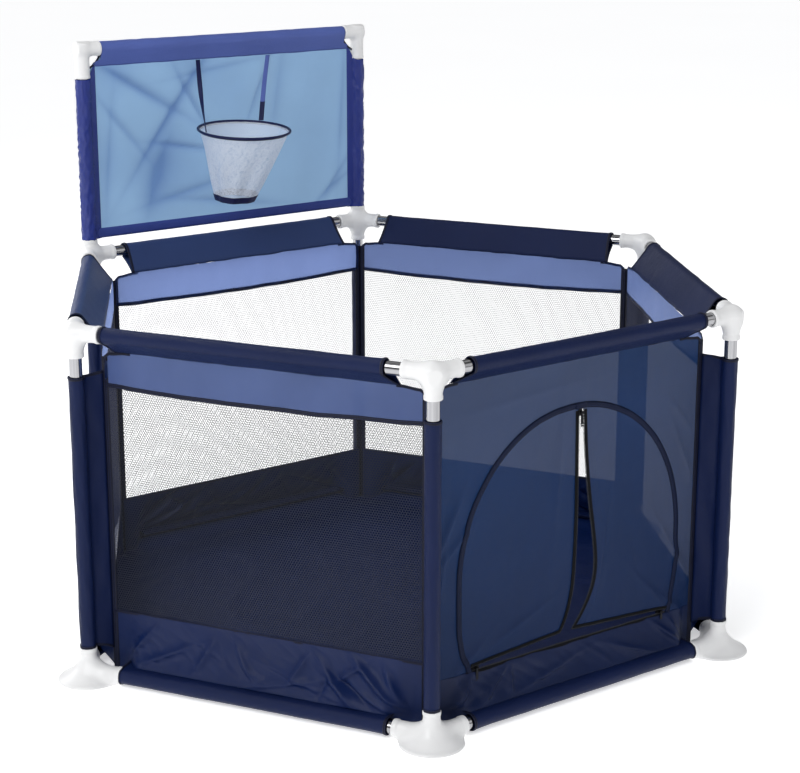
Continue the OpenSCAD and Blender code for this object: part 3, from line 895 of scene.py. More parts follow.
def skirt_points(k, s, t, high, base):
    """The cloth below a window or the door: it hangs from the wall and runs out to the bottom rail's tunnel."""
    middle = between_feet(s)
    z = high - t * (high - 0.003 - 0.0275 * middle)
    out = middle * 0.034 * t ** 2.3
    loose = middle * np.sin(math.pi * np.clip(t, 0, 1)) ** 0.8
    small = np.abs(noise(s * 26 + z * 30, z * 18, k + 7))
    out = out + loose * (0.004 + 0.006 * noise(s * 10 + z * 16, z * 9, k) + 0.006 * small)
    for *place, depth in FOLDS[5 if k % 2 else 0]:
        out = out + loose * fold(s, z, *place, 1.5 * depth)
    return base + out, z


def make_skirt(k):
    s, t = grid(line(-PANEL_HALF, PANEL_HALF, 0.003), np.linspace(0, 1, 44))
    points = at_side(k, s, *skirt_points(k, s, t, SKIRT_H, WALL_FACE))
    obj = ride(sheet_mesh("skirt_" + SIDES[k], points, SKIRT, 0.0007), "playpen", ["wall_cloth"])
    path = at_side(k, line(-PANEL_HALF, PANEL_HALF, 0.006), WALL_A + 0.0013, SKIRT_H - 0.0015)
    return obj, ride(ribbon("skirt_hem_" + SIDES[k], path, UP, 0.0045, BINDING))


WINDOW_PITCH, WINDOW_THREAD = 0.0046, 0.00068


def rows_in(height, pitch):
    return int(height / (pitch * math.sqrt(3) / 2))


def make_window(k):
    columns = int(2 * PANEL_HALF / WINDOW_PITCH) + 2
    rows = rows_in(BAND_LOW - SKIRT_H + 0.02, WINDOW_PITCH) + 2

    def on_wall(u, v):
        return u - PANEL_HALF, v + SKIRT_H - 0.006

    def place(u, v):
        s, z = on_wall(u, v)
        return at_side(k, s, wall_out(k, s, z) - 0.0009, z)

    def keep(u, v):
        s, z = on_wall(u, v)
        return (np.abs(s) < PANEL_HALF - 0.001) & (z < low_edge(k, s) + 0.004) & (z > SKIRT_H - 0.004)

    obj = hex_net("window_" + SIDES[k], columns, rows, WINDOW_PITCH, WINDOW_THREAD, place, DARK_NET, keep)
    return ride(obj, "playpen", ["mesh_window_" + SIDES[k]], "dark_mesh")


def teardrop(centre, seam, radius, gap, turns=22, straight=9):
    """A loop round a tube and back to its seam, as (outward, up) points."""
    c, s = np.array(centre), np.array(seam)
    d = s - c
    base, half = math.atan2(d[1], d[0]), math.acos(radius / np.hypot(*d))
    arc = c + circle(radius, np.linspace(base - half, base + half - 2 * math.pi, turns))
    t = np.linspace(0, 1, straight, endpoint=False)[:, None]
    up, down = s + np.array([0, gap]), s - np.array([0, gap])
    first, last = up + (arc[0] - up) * t, arc[-1] + (down - arc[-1]) * np.linspace(0, 1, straight)[1:, None]
    return np.concatenate([first, arc, last])


# How far a rail's tunnel reaches to the left and right of the side's middle, where it isn't the usual.
REACH = {(5, "top"): (0.266, 0.241), (5, "bottom"): (0.256, 0.244),
         (0, "top"): (0.249, 0.248), (0, "bottom"): (0.242, 0.256)}
USUAL_REACH = (0.249, 0.246)
SEAM_FAR = 0.057  # about the distance from a rail's middle to its tunnel's seam
PUCKER, PUCKER_LENGTH = 0.0006, 0.02  # the tunnel swells beside the binding at each end


def make_rail_tunnel(k, level):
    """The tunnel round a top or bottom rail."""
    top = level == "top"
    z0 = TOP_Z if top else BOTTOM_Z
    seam = (WALL_A + 0.0012, WALL_TOP + 0.001) if top else (WALL_A + 0.006, BOTTOM_Z + 0.012)
    loop = teardrop((RAIL_A, z0), seam, TUNNEL_R, 0.0009)
    off = np.stack([loop[:, 0] - RAIL_A, loop[:, 1] - z0], -1)
    far, away = np.hypot(off[:, 0], off[:, 1]) / SEAM_FAR, units(off)
    s = line(-1, 1, 0.012)[:, None]
    left, right = REACH.get((k, level), USUAL_REACH)
    along = s * (np.where(s < 0, left, right) + 0.006 * far ** 2)
    turn = np.arctan2(away[:, 1], away[:, 0])
    ripple = np.abs(noise(along * 26 + turn * 1.3, turn * 1.7, k + z0 * 9)) * 0.0016
    ripple = ripple + np.abs(noise(along * 9, turn * 0.8 + 3, k + z0 * 5)) * 0.0016
    pucker = PUCKER * np.exp(-((1 - np.abs(s)) * 0.244 / PUCKER_LENGTH) ** 2)
    swell = ripple * np.clip(far * 2, 0.35, 1.3) + pucker
    o, z = loop[:, 0] + away[:, 0] * swell, loop[:, 1] + away[:, 1] * swell
    points = at_side(k, along, o, z if top else np.maximum(z, 0.0032))
    # painted light: the back and back-left top tunnels take the lighter copy of the navy
    material = PAINTED_LIT_NAVY if top and k in (3, 4) else NAVY
    obj = sheet_mesh(f"{level}_tunnel_{SIDES[k]}", points, material, 0.0006)
    ride(obj, "playpen", [f"{level}_rail_tunnels"])
    rims = []
    lift = at_side(k, 0, away[:, 0], away[:, 1])
    for end, way in ((0, 1), (-1, -1)):
        inward = at_side(k, way, 0, 0)
        path = points[end] + inward * 0.002 + lift * 0.0008
        rims.append(ribbon(f"rim{end}", path, inward, 0.0055, BINDING, lift))
    return obj, ride(join(f"{level}_tunnel_rim_{SIDES[k]}", rims))


def make_post_tunnel(i):
    """The tunnel round a post, with the web that ties it to the corner of the walls."""
    web = SIDE - WALL_FACE / math.cos(math.radians(30))
    ring = circle(TUNNEL_R, np.radians(np.linspace(90 + 14, 90 + 346, 34)))
    wall, tube = np.array([-0.0006, web]), np.array([-0.0006, TUNNEL_R * math.cos(math.radians(14)) + 0.004])
    first = wall + (tube - wall) * np.linspace(0, 1, 8)[:, None]
    path = np.concatenate([first, ring, first[::-1] * [-1, 1]])
    dist = path[:, 1][None, :]
    near_wall = np.clip(dist / web, 0, 1) ** 2
    top, low = 0.540 + 0.003 * near_wall, 0.060 - 0.014 * near_wall
    height = low + line(0.0, 1.0, 0.012)[:, None] * (top - low)
    turn = np.arctan2(path[:, 1], path[:, 0])[None, :]
    ripple = np.abs(noise(height * 18 + turn * 0.8, turn * 1.6, i * 3.1)) * 0.0018
    on_tube = (dist < TUNNEL_R + 0.001).astype(float)
    grow = 1 + on_tube * ripple / TUNNEL_R
    sway = 0.004 * noise(height * 9, dist * 22, i * 1.7) + 0.002 * noise(height * 26, dist * 40, i + 9)
    sway = (1 - on_tube) * sway * np.sin(math.pi * np.clip((dist - TUNNEL_R) / (web - TUNNEL_R), 0, 1))
    points = at_corner(i, path[:, 0] * grow + sway, path[:, 1] * grow, height)
    obj = sheet_mesh("post_tunnel_" + CORNERS[i], points, NAVY, 0.0006)
    ride(obj, "playpen", ["post_tunnels"])
    away = units(at_corner(i, path[:, 0], np.minimum(path[:, 1], 0.004), 0) - at_corner(i, 0, 0, 0))
    rims = [ribbon(f"rim{end}", points[end] + UP * step + away * 0.0007, UP, 0.005, BINDING, away)
            for end, step in ((0, 0.002), (-1, -0.002))]
    return obj, ride(join("post_tunnel_rim_" + CORNERS[i], rims))


def make_corner_seam(i):
    """The bound seam where two walls meet."""
    c, n = math.cos(math.radians(30)), math.sin(math.radians(30))
    z, t = grid(line(0.004, 0.568, 0.008), np.linspace(0, 0.011, 4))
    y = SIDE - WALL_A / c - 0.0008 + t * n
    pieces = [sheet_mesh(f"seam{side}", at_corner(i, side * t * c, y, z), BINDING) for side in (-1, 1)]
    ride(join("corner_seam_" + CORNERS[i], pieces))


def make_wall_rim(k):
    """The bound upper edge of a wall beyond the ends of its tunnel."""
    parts = []
    for side in (-1, 1):
        s = side * line(0.240, PANEL_HALF, 0.003)
        z = top_edge(s)
        path = at_side(k, s, WALL_A + 0.0012, z - 0.0015)
        parts.append(ribbon(f"r{side}", path, at_side(k, -np.gradient(z, s), 0, 1.0), 0.005, BINDING))
    ride(join("wall_rim_" + SIDES[k], parts))


def stretched(piece, flat, on, pieces, **more):
    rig.sheet(piece, flat=flat, held="stretched", rests_on=[on], with_pieces=pieces, **more)


for k in range(1, 6):
    band, band_hem = make_band(k)
    skirt, skirt_hem = make_skirt(k)
    stretched(band, (0.582, 0.066), "top_tunnel_" + SIDES[k], [band_hem, make_window(k)])
    stretched(skirt, (0.582, 0.110), "bottom_tunnel_" + SIDES[k], [skirt_hem])
for k in range(6):
    for level, round_it in (("top", 0.157), ("bottom", 0.126)):
        tunnel, rim = make_rail_tunnel(k, level)
        stretched(tunnel, (0.490, round_it), f"{level}_rail_{SIDES[k]}", [rim])
for i in range(6):
    tunnel, rim = make_post_tunnel(i)
    stretched(tunnel, (0.484, 0.142), "post_" + CORNERS[i], [rim])
    make_corner_seam(i)
for k in range(6):
    make_wall_rim(k)


def floor_grid(r, n):
    """Triangles in a hexagon of radius r, n to each side: its points and faces."""
    points, faces, index = [], [], {}
    for a in range(-n, n + 1):
        for b in range(-n, n + 1):
            if abs(a + b) <= n:
                index[a, b] = len(points)
                points.append((r * (a + b / 2) / n, r * b * math.sqrt(3) / 2 / n))
    for (a, b), v in index.items():
        for tri in (((a + 1, b), (a, b + 1)), ((a, b + 1), (a - 1, b + 1))):
            if all(t in index for t in tri):
                faces.append([v] + [index[t] for t in tri])
    return np.array(points), faces


def make_floor():
    p, faces = floor_grid((WALL_A + 0.0012) / math.cos(math.radians(30)), 56)
    x, y = p[:, 0], p[:, 1]
    turns = [math.radians(60 * n) for n in range(6)]
    out = np.maximum.reduce([np.abs(x * math.sin(a) - y * math.cos(a)) for a in turns[:3]])
    edge = smooth((WALL_A - out) / 0.05)
    ridge = 1 - np.abs(noise(x * 5 + 3, y * 5)) * 2.2
    small = np.clip(1 - np.abs(noise(x * 11 + 8, y * 11)) * 3, 0, 1) ** 2
    swell = np.clip(noise(x * 3, y * 3 + 7), 0, 1)
    z = 0.0042 + edge * (0.003 * np.clip(ridge, 0, 1) ** 3 + 0.0016 * small + 0.003 * swell)
    foot = np.minimum.reduce([np.hypot(x - SIDE * math.cos(a), y - SIDE * math.sin(a)) for a in turns])
    z = z + 0.003 * (1 - smooth((foot - 0.05) / 0.03))
    for k in range(6):
        out_way, along_way = at_side(k, 0, 1, 0)[:2], at_side(k, 1, 0, 0)[:2]
        o, s = p @ out_way, p @ along_way
        middle, near_wall = between_feet(s), smooth((o - WALL_A + 0.03) / 0.03)
        shift = 0.033 * middle * near_wall
        x, y, z = x + shift * out_way[0], y + shift * out_way[1], z + 0.0265 * middle * near_wall ** 2
    obj = thicken(mesh_object("floor_sheet", np.stack([x, y, z], -1), faces, SKIRT, p), 0.0008)
    ride(obj, "playpen", ["floor_cloth"])
    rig.sheet(obj, flat=(1.245, 1.087), held="stretched", rests_on=["foot_pads"], area=1.01)


make_floor()

# ---------- door ----------


DOOR_FOLDS = creases(
    (200, 120, -48, 120, 8, 5), (245, 190, -58, 160, 8, 6), (250, 90, -38, 100, 6, 5),
    (-220, 100, 38, 120, 8, 4), (-262, 330, 62, 130, 6, 5), (-250, 300, 40, 100, 5, 4),
    (-272, 250, 80, 110, 6, 4), (262, 360, -66, 150, 6, 5), (250, 440, -50, 90, 5, 4),
    (-30, 360, 86, 260, 9, 3), (130, 460, -40, 130, 7, 3), (-120, 530, 4, 300, 8, 2),
    (70, 220, 80, 240, 11, 3), (-110, 140, 22, 160, 7, 3))


def door_out(x, z):
    """How far the door panel stands out."""
    edge = smooth((PANEL_HALF - np.abs(x)) / 0.018) * smooth((WALL_TOP - z) / 0.02)
    o = 0.0026 * noise(x * 8, z * 3.2, 31) + 0.0016 * np.abs(noise(x * 24, z * 7, 32))
    for row in DOOR_FOLDS:
        o = o + fold(x, z, *row)
    return WALL_A + 0.0006 + edge * o


def left_edge(z):
    """Where the left flap's free edge runs."""
    t = np.clip((z - FLAP_MID) / (FLAP_TOP - FLAP_MID), 0, 1)
    return ZIP_X - 0.006 - 0.028 * (1 - t) ** 9


def right_edge(z):
    """Where the right flap's free edge runs. It gapes."""
    t = np.clip((z - FLAP_MID) / (FLAP_TOP - FLAP_MID), 1e-9, 1 - 1e-9)
    return ZIP_X + 0.008 - 0.013 * (1 - t) ** 12 + 0.027 * np.sin(math.pi * t ** 0.53) ** 2.8


def low_line(x):
    """Height of the lower edge of the flaps and cheeks."""
    left = SLOT_TOP + (FLAP_MID - SLOT_TOP) * np.clip((x - DOOR_LEFT) / (ZIP_X - 0.034 - DOOR_LEFT), 0, 1)
    right = SLOT_TOP + (FLAP_MID - SLOT_TOP) * np.clip((DOOR_RIGHT - x) / (DOOR_RIGHT - ZIP_X + 0.005), 0, 1)
    inside = np.where(x < ZIP_X, left, right)
    round_end = smooth(np.minimum(x - DOOR_LEFT + 0.004, DOOR_RIGHT + 0.004 - x) / 0.006)
    return LOW_ZIP + 0.0004 + (inside - LOW_ZIP - 0.0004) * round_end


CHORD = {
    "left": (np.array([SLOT_LEFT, DOOR_TOP]), np.array([DOOR_LEFT, SLOT_TOP]), 1),
    "right": (np.array([SLOT_RIGHT, DOOR_TOP]), np.array([DOOR_RIGHT, SLOT_TOP]), -1),
}


BEND = 0.014


def swing(obj, side):
    """Lets a piece of the door bend at its flap's hinge seam."""
    a, b, sign = CHORD[side]
    along = (b - a) / np.linalg.norm(b - a)
    p = (a + b) / 2
    q = p + np.array([-along[1], along[0]]) * sign * BEND
    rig.blend(obj, "playpen", side + "_flap", (p[0], -WALL_A, p[1]), (q[0], -WALL_A, q[1]))


def arch_path():
    """The door's arch from its lower left end over the top to its lower right end, as (x, z)."""
    a = np.radians(np.linspace(180, 0, 90))
    dome = np.stack([0.006 + 0.240 * np.cos(a), 0.235 + 0.264 * np.sin(a) ** 0.94], -1)
    raw = np.concatenate([
        [(-0.210, 0.078), (-0.226, 0.11), (-0.2335, 0.15)],
        np.stack([np.full(12, -0.234), np.linspace(0.16, 0.232, 12)], -1),
        dome,
        np.stack([np.full(12, 0.246), np.linspace(0.232, 0.16, 12)], -1),
        [(0.2455, 0.15), (0.240, 0.12), (0.232, 0.093), (0.229, 0.080)]])
    p = resample(raw, 0.004)
    for _ in range(8):
        p[1:-1] = (p[:-2] + 2 * p[1:-1] + p[2:]) / 4
    return p


def resample(p, step):
    """Points a step apart along a path."""
    d = np.concatenate([[0], np.cumsum(np.linalg.norm(np.diff(p, axis=0), axis=-1))])
    t = np.arange(0, d[-1], step)
    return np.stack([np.interp(t, d, column) for column in p.T], -1)


ARCH_LINE = arch_path()
ARCH_X, ARCH_Z = ARCH_LINE.T
APEX = int(ARCH_Z.argmax())


def gape_curl(side, z):
    """How far a flap's free edge curls outward."""
    open_part = np.sin(math.pi * np.clip((z - FLAP_MID) / (FLAP_TOP - FLAP_MID), 0, 1))
    return (0.009 if side == "right" else 0.004) * open_part


FREE_EDGE = {"left": left_edge, "right": right_edge}


def flap_sheet(side):
    """A flap and its cheek: everything between the arch and the free edges."""
    branch = ARCH_LINE[:APEX + 1] if side == "left" else ARCH_LINE[APEX:][::-1]
    edge = FREE_EDGE[side]

    def arch(z):
        return np.interp(z, branch[:, 1], branch[:, 0])

    u, w = grid(np.linspace(0, 1, 76), np.linspace(0, 1, 150))
    foot = arch(SLOT_TOP)
    low = low_line(foot + u * (edge(FLAP_MID) - foot))
    z = low + (1 - (1 - w) ** 1.5) * (ARCH_Z[APEX] - 0.0008 - low)
    limit = edge(z) + (ZIP_X - edge(z)) * smooth((z - FLAP_TOP + 0.001) / 0.006)
    x = arch(z) + u * (limit - arch(z))
    curl = gape_curl(side, z) * np.exp(-((x - edge(z)) / 0.03) ** 2)
    return at_front(x, door_out(x, z) + curl, z)


def make_surround():
    """The cloth around the arch: header and both side strips."""
    low = LOW_ZIP + 0.0004
    foot = np.interp(low, ARCH_Z[:9], ARCH_X[:9])
    inner = np.concatenate([[(foot, low)], ARCH_LINE[ARCH_Z >= low], [(0.2292, low)]])
    share = np.concatenate([[0], np.cumsum(np.linalg.norm(np.diff(inner, axis=0), axis=-1))])
    share /= share[-1]
    first, last = 0.335, 0.665
    parts = ((0, first, 70), (first, last, 90), (last, 1, 70))
    u = np.unique(np.concatenate([np.linspace(*part) for part in parts]))
    xi, zi = np.interp(u, share, inner[:, 0]), np.interp(u, share, inner[:, 1])
    xo = np.interp(u, [0, first, last, 1], [-PANEL_HALF, -PANEL_HALF, PANEL_HALF, PANEL_HALF])
    right = np.where(u > last, low + (WALL_TOP - low) * (1 - u) / (1 - last), WALL_TOP)
    zo = np.minimum(np.where(u < first, low + (WALL_TOP - low) * u / first, right), top_edge(xo))
    v = np.linspace(0, 1, 26)[None, :]
    x, z = xi[:, None] + (xo - xi)[:, None] * v, zi[:, None] + (zo - zi)[:, None] * v
    obj = sheet_mesh("door_surround", at_front(x, door_out(x, z), z), DOOR, 0, uv=np.stack([x, z], -1))
    return ride(obj, "playpen", ["door_panel"], "door_cloth")


TOOTH_STEP = 0.0024
TOOTH_LEVEL, TOOTH_UPRIGHT = (0.0012, 0.0016, 0.0026), (0.0026, 0.0016, 0.0012)


def teeth(path, size):
    """Zip teeth: small blocks along a path."""
    points = resample(path, TOOTH_STEP)
    cube = [[-1, -1, -1], [1, -1, -1], [1, 1, -1], [-1, 1, -1], [-1, -1, 1], [1, -1, 1], [1, 1, 1], [-1, 1, 1]]
    sides = [[0, 3, 2, 1], [4, 5, 6, 7], [0, 1, 5, 4], [1, 2, 6, 5], [2, 3, 7, 6], [3, 0, 4, 7]]
    faces = [[v + 8 * n for v in f] for n in range(len(points)) for f in sides]
    obj = mesh_object("teeth", points[:, None] + (np.array(cube) / 2 * size)[None], faces, TEETH)
    obj.data.polygons.foreach_set("use_smooth", [False] * len(faces))
    return obj


def flap_tape(side):
    """The zip tape and teeth along a flap's upright and lower edges."""
    left = side == "left"
    sign = -1 if left else 1
    z = line(FLAP_MID, FLAP_TOP, 0.003)
    x = FREE_EDGE[side](z)
    out = door_out(x, z) + gape_curl(side, z)
    ends = (DOOR_LEFT + 0.002, ZIP_X - 0.034) if left else (ZIP_X - 0.005, DOOR_RIGHT - 0.002)
    xl = line(*ends, 0.003)
    zl = low_line(xl)
    outl = door_out(xl, zl)
    return join("zip_tape_" + side, [
        ribbon("upright", at_front(x + sign * 0.002, out + 0.001, z), (1, 0, 0), 0.0065, TAPE, FRONT),
        ribbon("level", at_front(xl, outl + 0.001, zl + 0.0018), UP, 0.0048, TAPE, FRONT),
        teeth(at_front(x - sign * 0.0016, out + 0.0006, z), TOOTH_UPRIGHT),
        teeth(at_front(xl, outl + 0.0006, zl - 0.0012), TOOTH_LEVEL)])


for side in ("left", "right"):
    points = flap_sheet(side)
    flap = sheet_mesh("door_" + side, points, DOOR, 0, uv=points[..., ::2])
    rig.replaces(flap, "door_flap_" + side, "door_panel")
    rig.slot(flap, "door_cloth")
    tape = flap_tape(side)
    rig.slot(tape, "zip_tape")
    swing(flap, side)
    swing(tape, side)
    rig.sheet(flap, flat=(0.25, 0.416), held="hung", rests_on=["door_surround"], area=0.082, with_pieces=[tape])
surround = make_surround()


def make_sill():
    """The cloth below the zip, with its side of the zip."""
    x, t = grid(line(-PANEL_HALF, PANEL_HALF, 0.003), np.linspace(0, 1, 36))
    o, z = skirt_points(0, x, t, LOW_ZIP + 0.0004, door_out(x, LOW_ZIP))
    obj = sheet_mesh("door_sill", at_front(x, o, z), SILL, 0.0006)
    ride(obj, "playpen", ["door_panel"], "door_cloth")
    x = line(DOOR_LEFT - 0.006, DOOR_RIGHT + 0.006, 0.003)
    out = door_out(x, LOW_ZIP - 0.004)
    tape = join("zip_tape_sill", [
        ribbon("tape", at_front(x, out + 0.0012, LOW_ZIP - 0.0028), UP, 0.0062, TAPE, FRONT),
        teeth(at_front(x, out + 0.0006, LOW_ZIP + 0.001), TOOTH_LEVEL)])
    ride(tape, "playpen", ["lower_zip_tape"], "zip_tape")
    stretched(obj, (0.582, 0.077), "bottom_tunnel_front", [tape])


make_sill()


def make_arch():
    """The bound seam of the door's arch, and the tab at the top of the zip."""
    path = at_front(ARCH_X, door_out(ARCH_X, ARCH_Z) + 0.0008, ARCH_Z)
    across = at_front(-np.gradient(ARCH_Z), 0, np.gradient(ARCH_X))
    arch = ribbon("door_arch", path, across, 0.0105, ARCH, FRONT, crown=0.0012)
    ride(arch, material_slot="door_cloth")
    x, z = grid(ZIP_X + np.linspace(-0.012, 0.012, 9), DOOR_TOP + np.linspace(-0.004, 0.007, 5))
    tab = sheet_mesh("zip_top_tab", at_front(x, door_out(x, z) + 0.0024, z), ARCH)
    ride(tab, material_slot="door_cloth")
    stretched(surround, (0.582, 0.495), "top_tunnel_front", [arch, tab], area=0.118)


make_arch()

# ---------- backboard ----------


BOARD_FOLDS = creases(
    (-205, 935, -31, 220, 10, 10), (-125, 882, 53, 260, 9, 10), (-78, 897, -60, 140, 6, 7),
    (-100, 810, -10, 120, 6, 8), (-160, 760, 70, 130, 22, 10), (-240, 860, -50, 150, 7, 6),
    (250, 690, 35, 120, 6, 6), (270, 720, 55, 100, 6, 5), (120, 900, 80, 160, 14, 4),
    (0, 690, -8, 220, 8, 6), (75, 910, 66, 130, 4, 6), (-90, 720, 12, 180, 10, 6),
    (-270, 800, 84, 200, 8, 5), (280, 860, 86, 220, 8, 5), (-20, 960, 8, 200, 6, 4))


def board_y(x, z):
    """Where the board's cloth lies, with the creases of a cloth that was folded."""
    edge = smooth((0.300 - np.abs(x)) / 0.05) * smooth((z - BOARD_HEM) / 0.05) * smooth((0.99 - z) / 0.05)
    y = 0.003 * noise(x * 6 - z * 5, z * 4 + x * 2, 51) + 0.0016 * noise(x * 17 - z * 14, z * 8 + x * 4, 52)
    for row in BOARD_FOLDS:
        y = y + fold(x, z, *row)
    return RAIL_A - 0.0004 + edge * y


def board_painted_shade(x, z):
    """Painted shade: how far the cloth's colour is darkened along its folds, and in a cloud that grows darker towards
    the left.
    """
    # painted shade along each fold of the table
    dark = sum(fold(x, z, x0, z0, h, n * 1.15, w * 0.85, d * 80) for x0, z0, h, n, w, d in BOARD_FOLDS)
    # painted shade in a cloud that grows towards the left side
    cloud = np.clip(0.35 + noise(x * 7 + 2, z * 6, 55), 0, 1) * (0.08 + 0.3 * smooth((0.12 - x) / 0.28))
    return np.clip(dark + cloud, 0, 0.85)


# The cloth is cut in a curve round each elbow: the curve's centre and radius.
CURVE_X, CURVE_Z, CURVE_R = 0.330, 1.024, 0.051


def cut_top(x):
    """Height at which the curve at an elbow cuts the cloth."""
    dx = np.clip(CURVE_X - np.abs(x), -1, CURVE_R - 0.0001)
    return CURVE_Z - np.sqrt(np.maximum(CURVE_R ** 2 - dx * dx, 0))


def make_side_tunnel(side, word):
    """The cloth round a post of the board, and both its layers as far as the panel."""
    ring = circle(TUNNEL_R, np.radians(np.linspace(160, -160, 34)))
    reach = 0.026
    seam = np.array([-reach, 0.0006])
    first = seam + (ring[0] - seam) * np.linspace(0, 1, 7)[:, None]
    path = np.concatenate([first[:-1], ring, (first[::-1] * [1, -1])[1:]])
    px, py = path[:, 0][None, :], path[:, 1][None, :]
    high = 0.957 + 0.026 * smooth((-px - 0.006) / 0.02)
    z = BOARD_HEM - 0.001 + line(0, 1, 0.008)[:, None] * (high - BOARD_HEM + 0.001)
    turn = np.arctan2(py, px)
    crumple = (1 - np.minimum(1, np.abs(noise(z * 34 + turn, turn * 2.2, side * 3 + 5)) * 2.6)) * 0.0022
    crumple = crumple + np.abs(noise(z * 14, turn * 2.6, side + 8)) * 0.002
    grow = 1 + crumple / TUNNEL_R * np.clip(1.3 + px / reach, 0.1, 1)
    x = side * (SIDE / 2 + px * np.where(px > -0.0125, grow, 1.0))
    points = np.stack(np.broadcast_arrays(x, RAIL_A + py * grow, z), -1)
    obj = sheet_mesh("board_side_tunnel_" + word, points, BOARD_EDGE, 0.0006)
    ride(obj, "backboard", (), "board_cloth")
    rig.sheet(obj, flat=(0.100, 0.318), held="stretched", rests_on=["board_post_" + word])


def make_top_tunnel():
    """The cloth round the board's top tube, cut to the curves at both elbows."""
    loop = teardrop((0.0, 0.0), (-0.0002, -0.034), TUNNEL_R, 0.0) + [RAIL_A, BOARD_Z]
    cut_x = CURVE_X - np.sqrt(np.maximum(CURVE_R ** 2 - (CURVE_Z - loop[:, 1]) ** 2, 0))
    reach = np.minimum(np.where(loop[:, 1] < 0.99, cut_x, 0.283), 0.304)
    away = units(loop - np.array([RAIL_A, BOARD_Z]))
    turn = np.arctan2(away[:, 1], away[:, 0])
    x = line(-1, 1, 0.012)[:, None] * reach
    ripple = np.abs(noise(x * 20 + turn, turn * 1.6, 61)) * 0.0014
    points = np.stack([x, loop[:, 0] + away[:, 0] * ripple, loop[:, 1] + away[:, 1] * ripple], -1)
    obj = ride(sheet_mesh("board_top_tunnel", points, BOARD_TOP, 0.0006), "backboard", (), "board_cloth")
    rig.sheet(obj, flat=(0.575, 0.110), held="stretched", rests_on=["board_top_tube"])


def make_board():
    x, t = grid(line(-0.304, 0.304, 0.004), np.linspace(0, 1, 90))
    z = BOARD_HEM + 0.012 + t * (np.minimum(0.996, cut_top(x)) - BOARD_HEM - 0.012)
    # the panel carries its painted shade as a point attribute
    panel = sheet_mesh("board_panel", np.stack([x, board_y(x, z), z], -1), PANEL, 0, painted_shade=board_painted_shade(x, z))
    ride(panel, "backboard", ["board_cover"], "board_cloth")
    x, z = grid(line(-0.306, 0.306, 0.004), np.linspace(BOARD_HEM, BOARD_HEM + 0.019, 5))
    bulge = 0.0014 * np.sin(math.pi * (z - BOARD_HEM) / 0.019)
    hem = sheet_mesh("board_hem", np.stack([x, board_y(x, z) - 0.0008 - bulge, z], -1), BOARD_HEM_CLOTH, 0.0012)
    ride(hem, "backboard", (), "board_cloth")
    make_side_tunnel(-1, "left")
    make_side_tunnel(1, "right")
    make_top_tunnel()
    rims = []
    a = np.radians(np.linspace(188, 262, 30))
    for side in (-1, 1):
        x, z = side * (CURVE_X + CURVE_R * np.cos(a)), CURVE_Z + CURVE_R * np.sin(a)
        path = np.stack([x, np.full_like(x, RAIL_A - 0.0022), z], -1)
        out = np.stack([side * np.cos(a), 0 * a, np.sin(a)], -1)
        rims.append(ribbon(f"p{side}", path + out * 0.001, out, 0.004, BINDING))
    rim = ride(join("board_piping", rims), "backboard", (), "board_cloth")
    stretched(panel, (0.61, 0.345), "board_top_tube", [hem, rim])


make_board()

# ---------- hoop ----------


def at_hoop(x, y, z):
    """Points drawn about the ring's centre, on the tilted ring."""
    a = math.radians(TILT)
    x, y, z = np.broadcast_arrays(np.asarray(x, float), np.asarray(y, float) - HOOP_R, np.asarray(z, float))
    return np.stack([x + HOOP_X, HINGE_Y + math.cos(a) * y - math.sin(a) * z,
                     HINGE_Z + math.sin(a) * y + math.cos(a) * z], -1)


def net_r(depth, angle):
    """Radius of the net at a depth, with its folds."""
    t = depth / NET_H
    wave = 0.07 * np.sin(5 * angle + 1) + 0.05 * np.sin(9 * angle + 2.6 * t)
    base = (HOOP_R - 0.0025) * (1 - t) + NET_LOW_R * t
    return base * (1 + t * wave * np.sin(math.pi * np.clip(t, 0, 1) * 0.85))


def at_net(depth, angle, proud=0.0):
    """Points of the net, which hangs a little to the left of its ring."""
    r = net_r(depth, angle) + proud
    lean = 0.018 * (depth / NET_H) ** 1.5
    return at_hoop(r * np.cos(angle) - lean, r * np.sin(angle), -depth - 0.001)


def make_strap(side, word, angle, twist):
    """A flat strap from the board down to the ring, in two lengths sewn together."""
    a = math.radians(angle)
    high = np.array([STRAP_X + side * STRAP_HALF, RAIL_A - 0.0035, 0.979])
    low = at_hoop(HOOP_R * math.cos(a), HOOP_R * math.sin(a), 0.0035)
    t = np.linspace(0, 1, 60)[:, None]
    path = high + (low - high) * t + np.array([0, 0.003, -0.004]) * np.sin(math.pi * t)
    twist = math.radians(twist) * smooth(t * 1.1)
    across = np.concatenate([np.cos(twist), -np.sin(twist), 0 * twist], 1)
    upper = HOOP_NAVY if side < 0 else BOARD_TOP
    strap = join("strap_" + word, [
        ribbon("s0", path[:42], across[:42], 0.0095, upper, crown=0.0004, thick=0.0007),
        ribbon("s1", path[40:], across[40:], 0.0098, HOOP_NAVY, crown=0.0006, thick=0.0008)])
    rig.replaces(strap, "hoop_straps")
    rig.slot(strap, "navy_cloth")
    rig.blend(strap, "backboard", "hoop", tuple(high + (low - high) * 0.05), tuple(low))


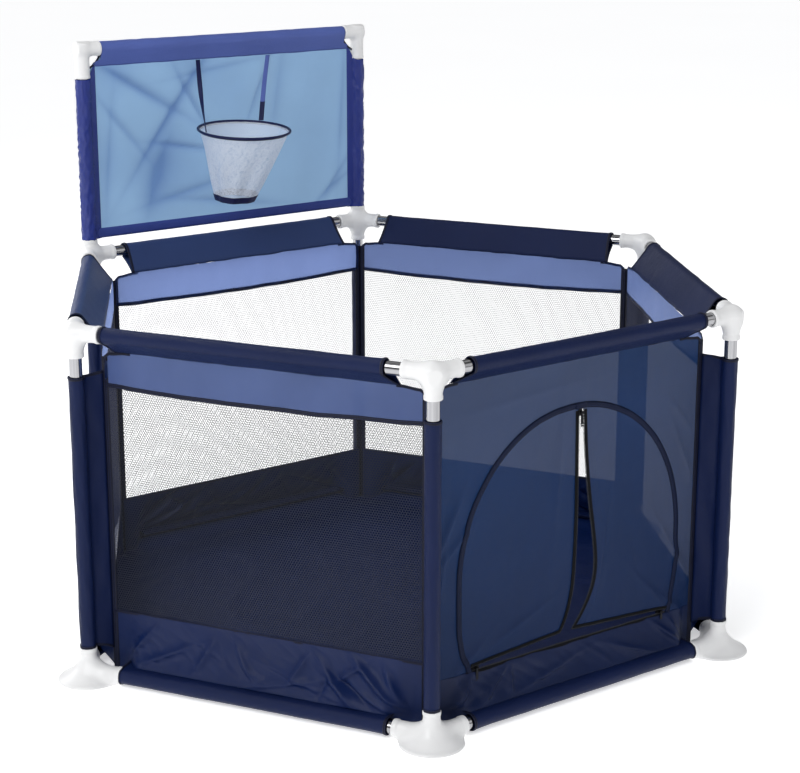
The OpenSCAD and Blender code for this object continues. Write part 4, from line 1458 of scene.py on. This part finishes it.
def make_hoop():
    """The bound ring, its net with the sleeve and hem, and the straps."""
    a, b = grid(np.linspace(0, 2 * math.pi, 241), np.linspace(0, 2 * math.pi, 15))
    wrap = WIRE_R * (1 + 0.06 * np.cos(b - a * 60))
    r = HOOP_R + wrap * np.cos(b)
    ring = sheet_mesh("hoop_binding", at_hoop(r * np.cos(a), r * np.sin(a), wrap * np.sin(b)), HOOP_NAVY, 0)
    ride(ring, "hoop", ["hoop_ring"])
    columns, pitch, jitter = 156, 0.0026, 0.0012

    def place(u, v):
        angle = (u + jitter * noise(u * 150, v * 150, 3)) / (columns * pitch) * 2 * math.pi
        return at_net(np.clip(v + jitter * noise(u * 150 + 9, v * 150, 4), 0, NET_H), angle)

    net = hex_net("hoop_netting", columns, rows_in(NET_H, pitch) + 1, pitch, 0.00092, place, WHITE_NET,
                  lambda u, v: v < NET_H)
    ride(net, "hoop", ["hoop_net"], "white_net")
    a, t = grid(np.linspace(0, 2 * math.pi, 121), np.linspace(0, 1, 6))
    hem = sheet_mesh("hoop_net_hem", at_net(NET_H - 0.012 + 0.0125 * t, a, 0.0006), HOOP_NAVY, 0.0008)
    ride(hem, "hoop")
    v = 0.0045 * t
    r = net_r(v, a) + 0.0008
    sleeve = sheet_mesh("hoop_net_head", at_hoop(r * np.cos(a), r * np.sin(a), -v), HOOP_NAVY, 0.0007)
    ride(sleeve, "hoop")
    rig.sheet(sleeve, flat=(0.57, 0.010), held="hung", area=0.0027, rests_on=["hoop_binding"],
             with_pieces=[net, hem])
    make_strap(-1, "left", 184, 110)
    make_strap(1, "right", 36, 30)


make_hoop()

# ---------- ground ----------


def pale_floor():
    m = Finish("pale_floor")
    m.colour(m.mix(m.noise(0.8), grey(0.93), grey(0.97)))
    return m.set(Roughness=0.9, Specular_IOR_Level=0.1, Emission_Color=grey(1), Emission_Strength=0.5)


corners = [(-FLOOR, -FLOOR, 0), (FLOOR, -FLOOR, 0), (FLOOR, FLOOR, 0), (-FLOOR, FLOOR, 0)]
ground = mesh_object("ground", corners, [[0, 1, 2, 3]], pale_floor())
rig.stage(ground)

low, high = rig.bounds()
with open("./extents.json", "w") as out:
    json.dump({"cad": [list(cad_low), list(cad_high)], "visual": [list(low), list(high)]}, out)
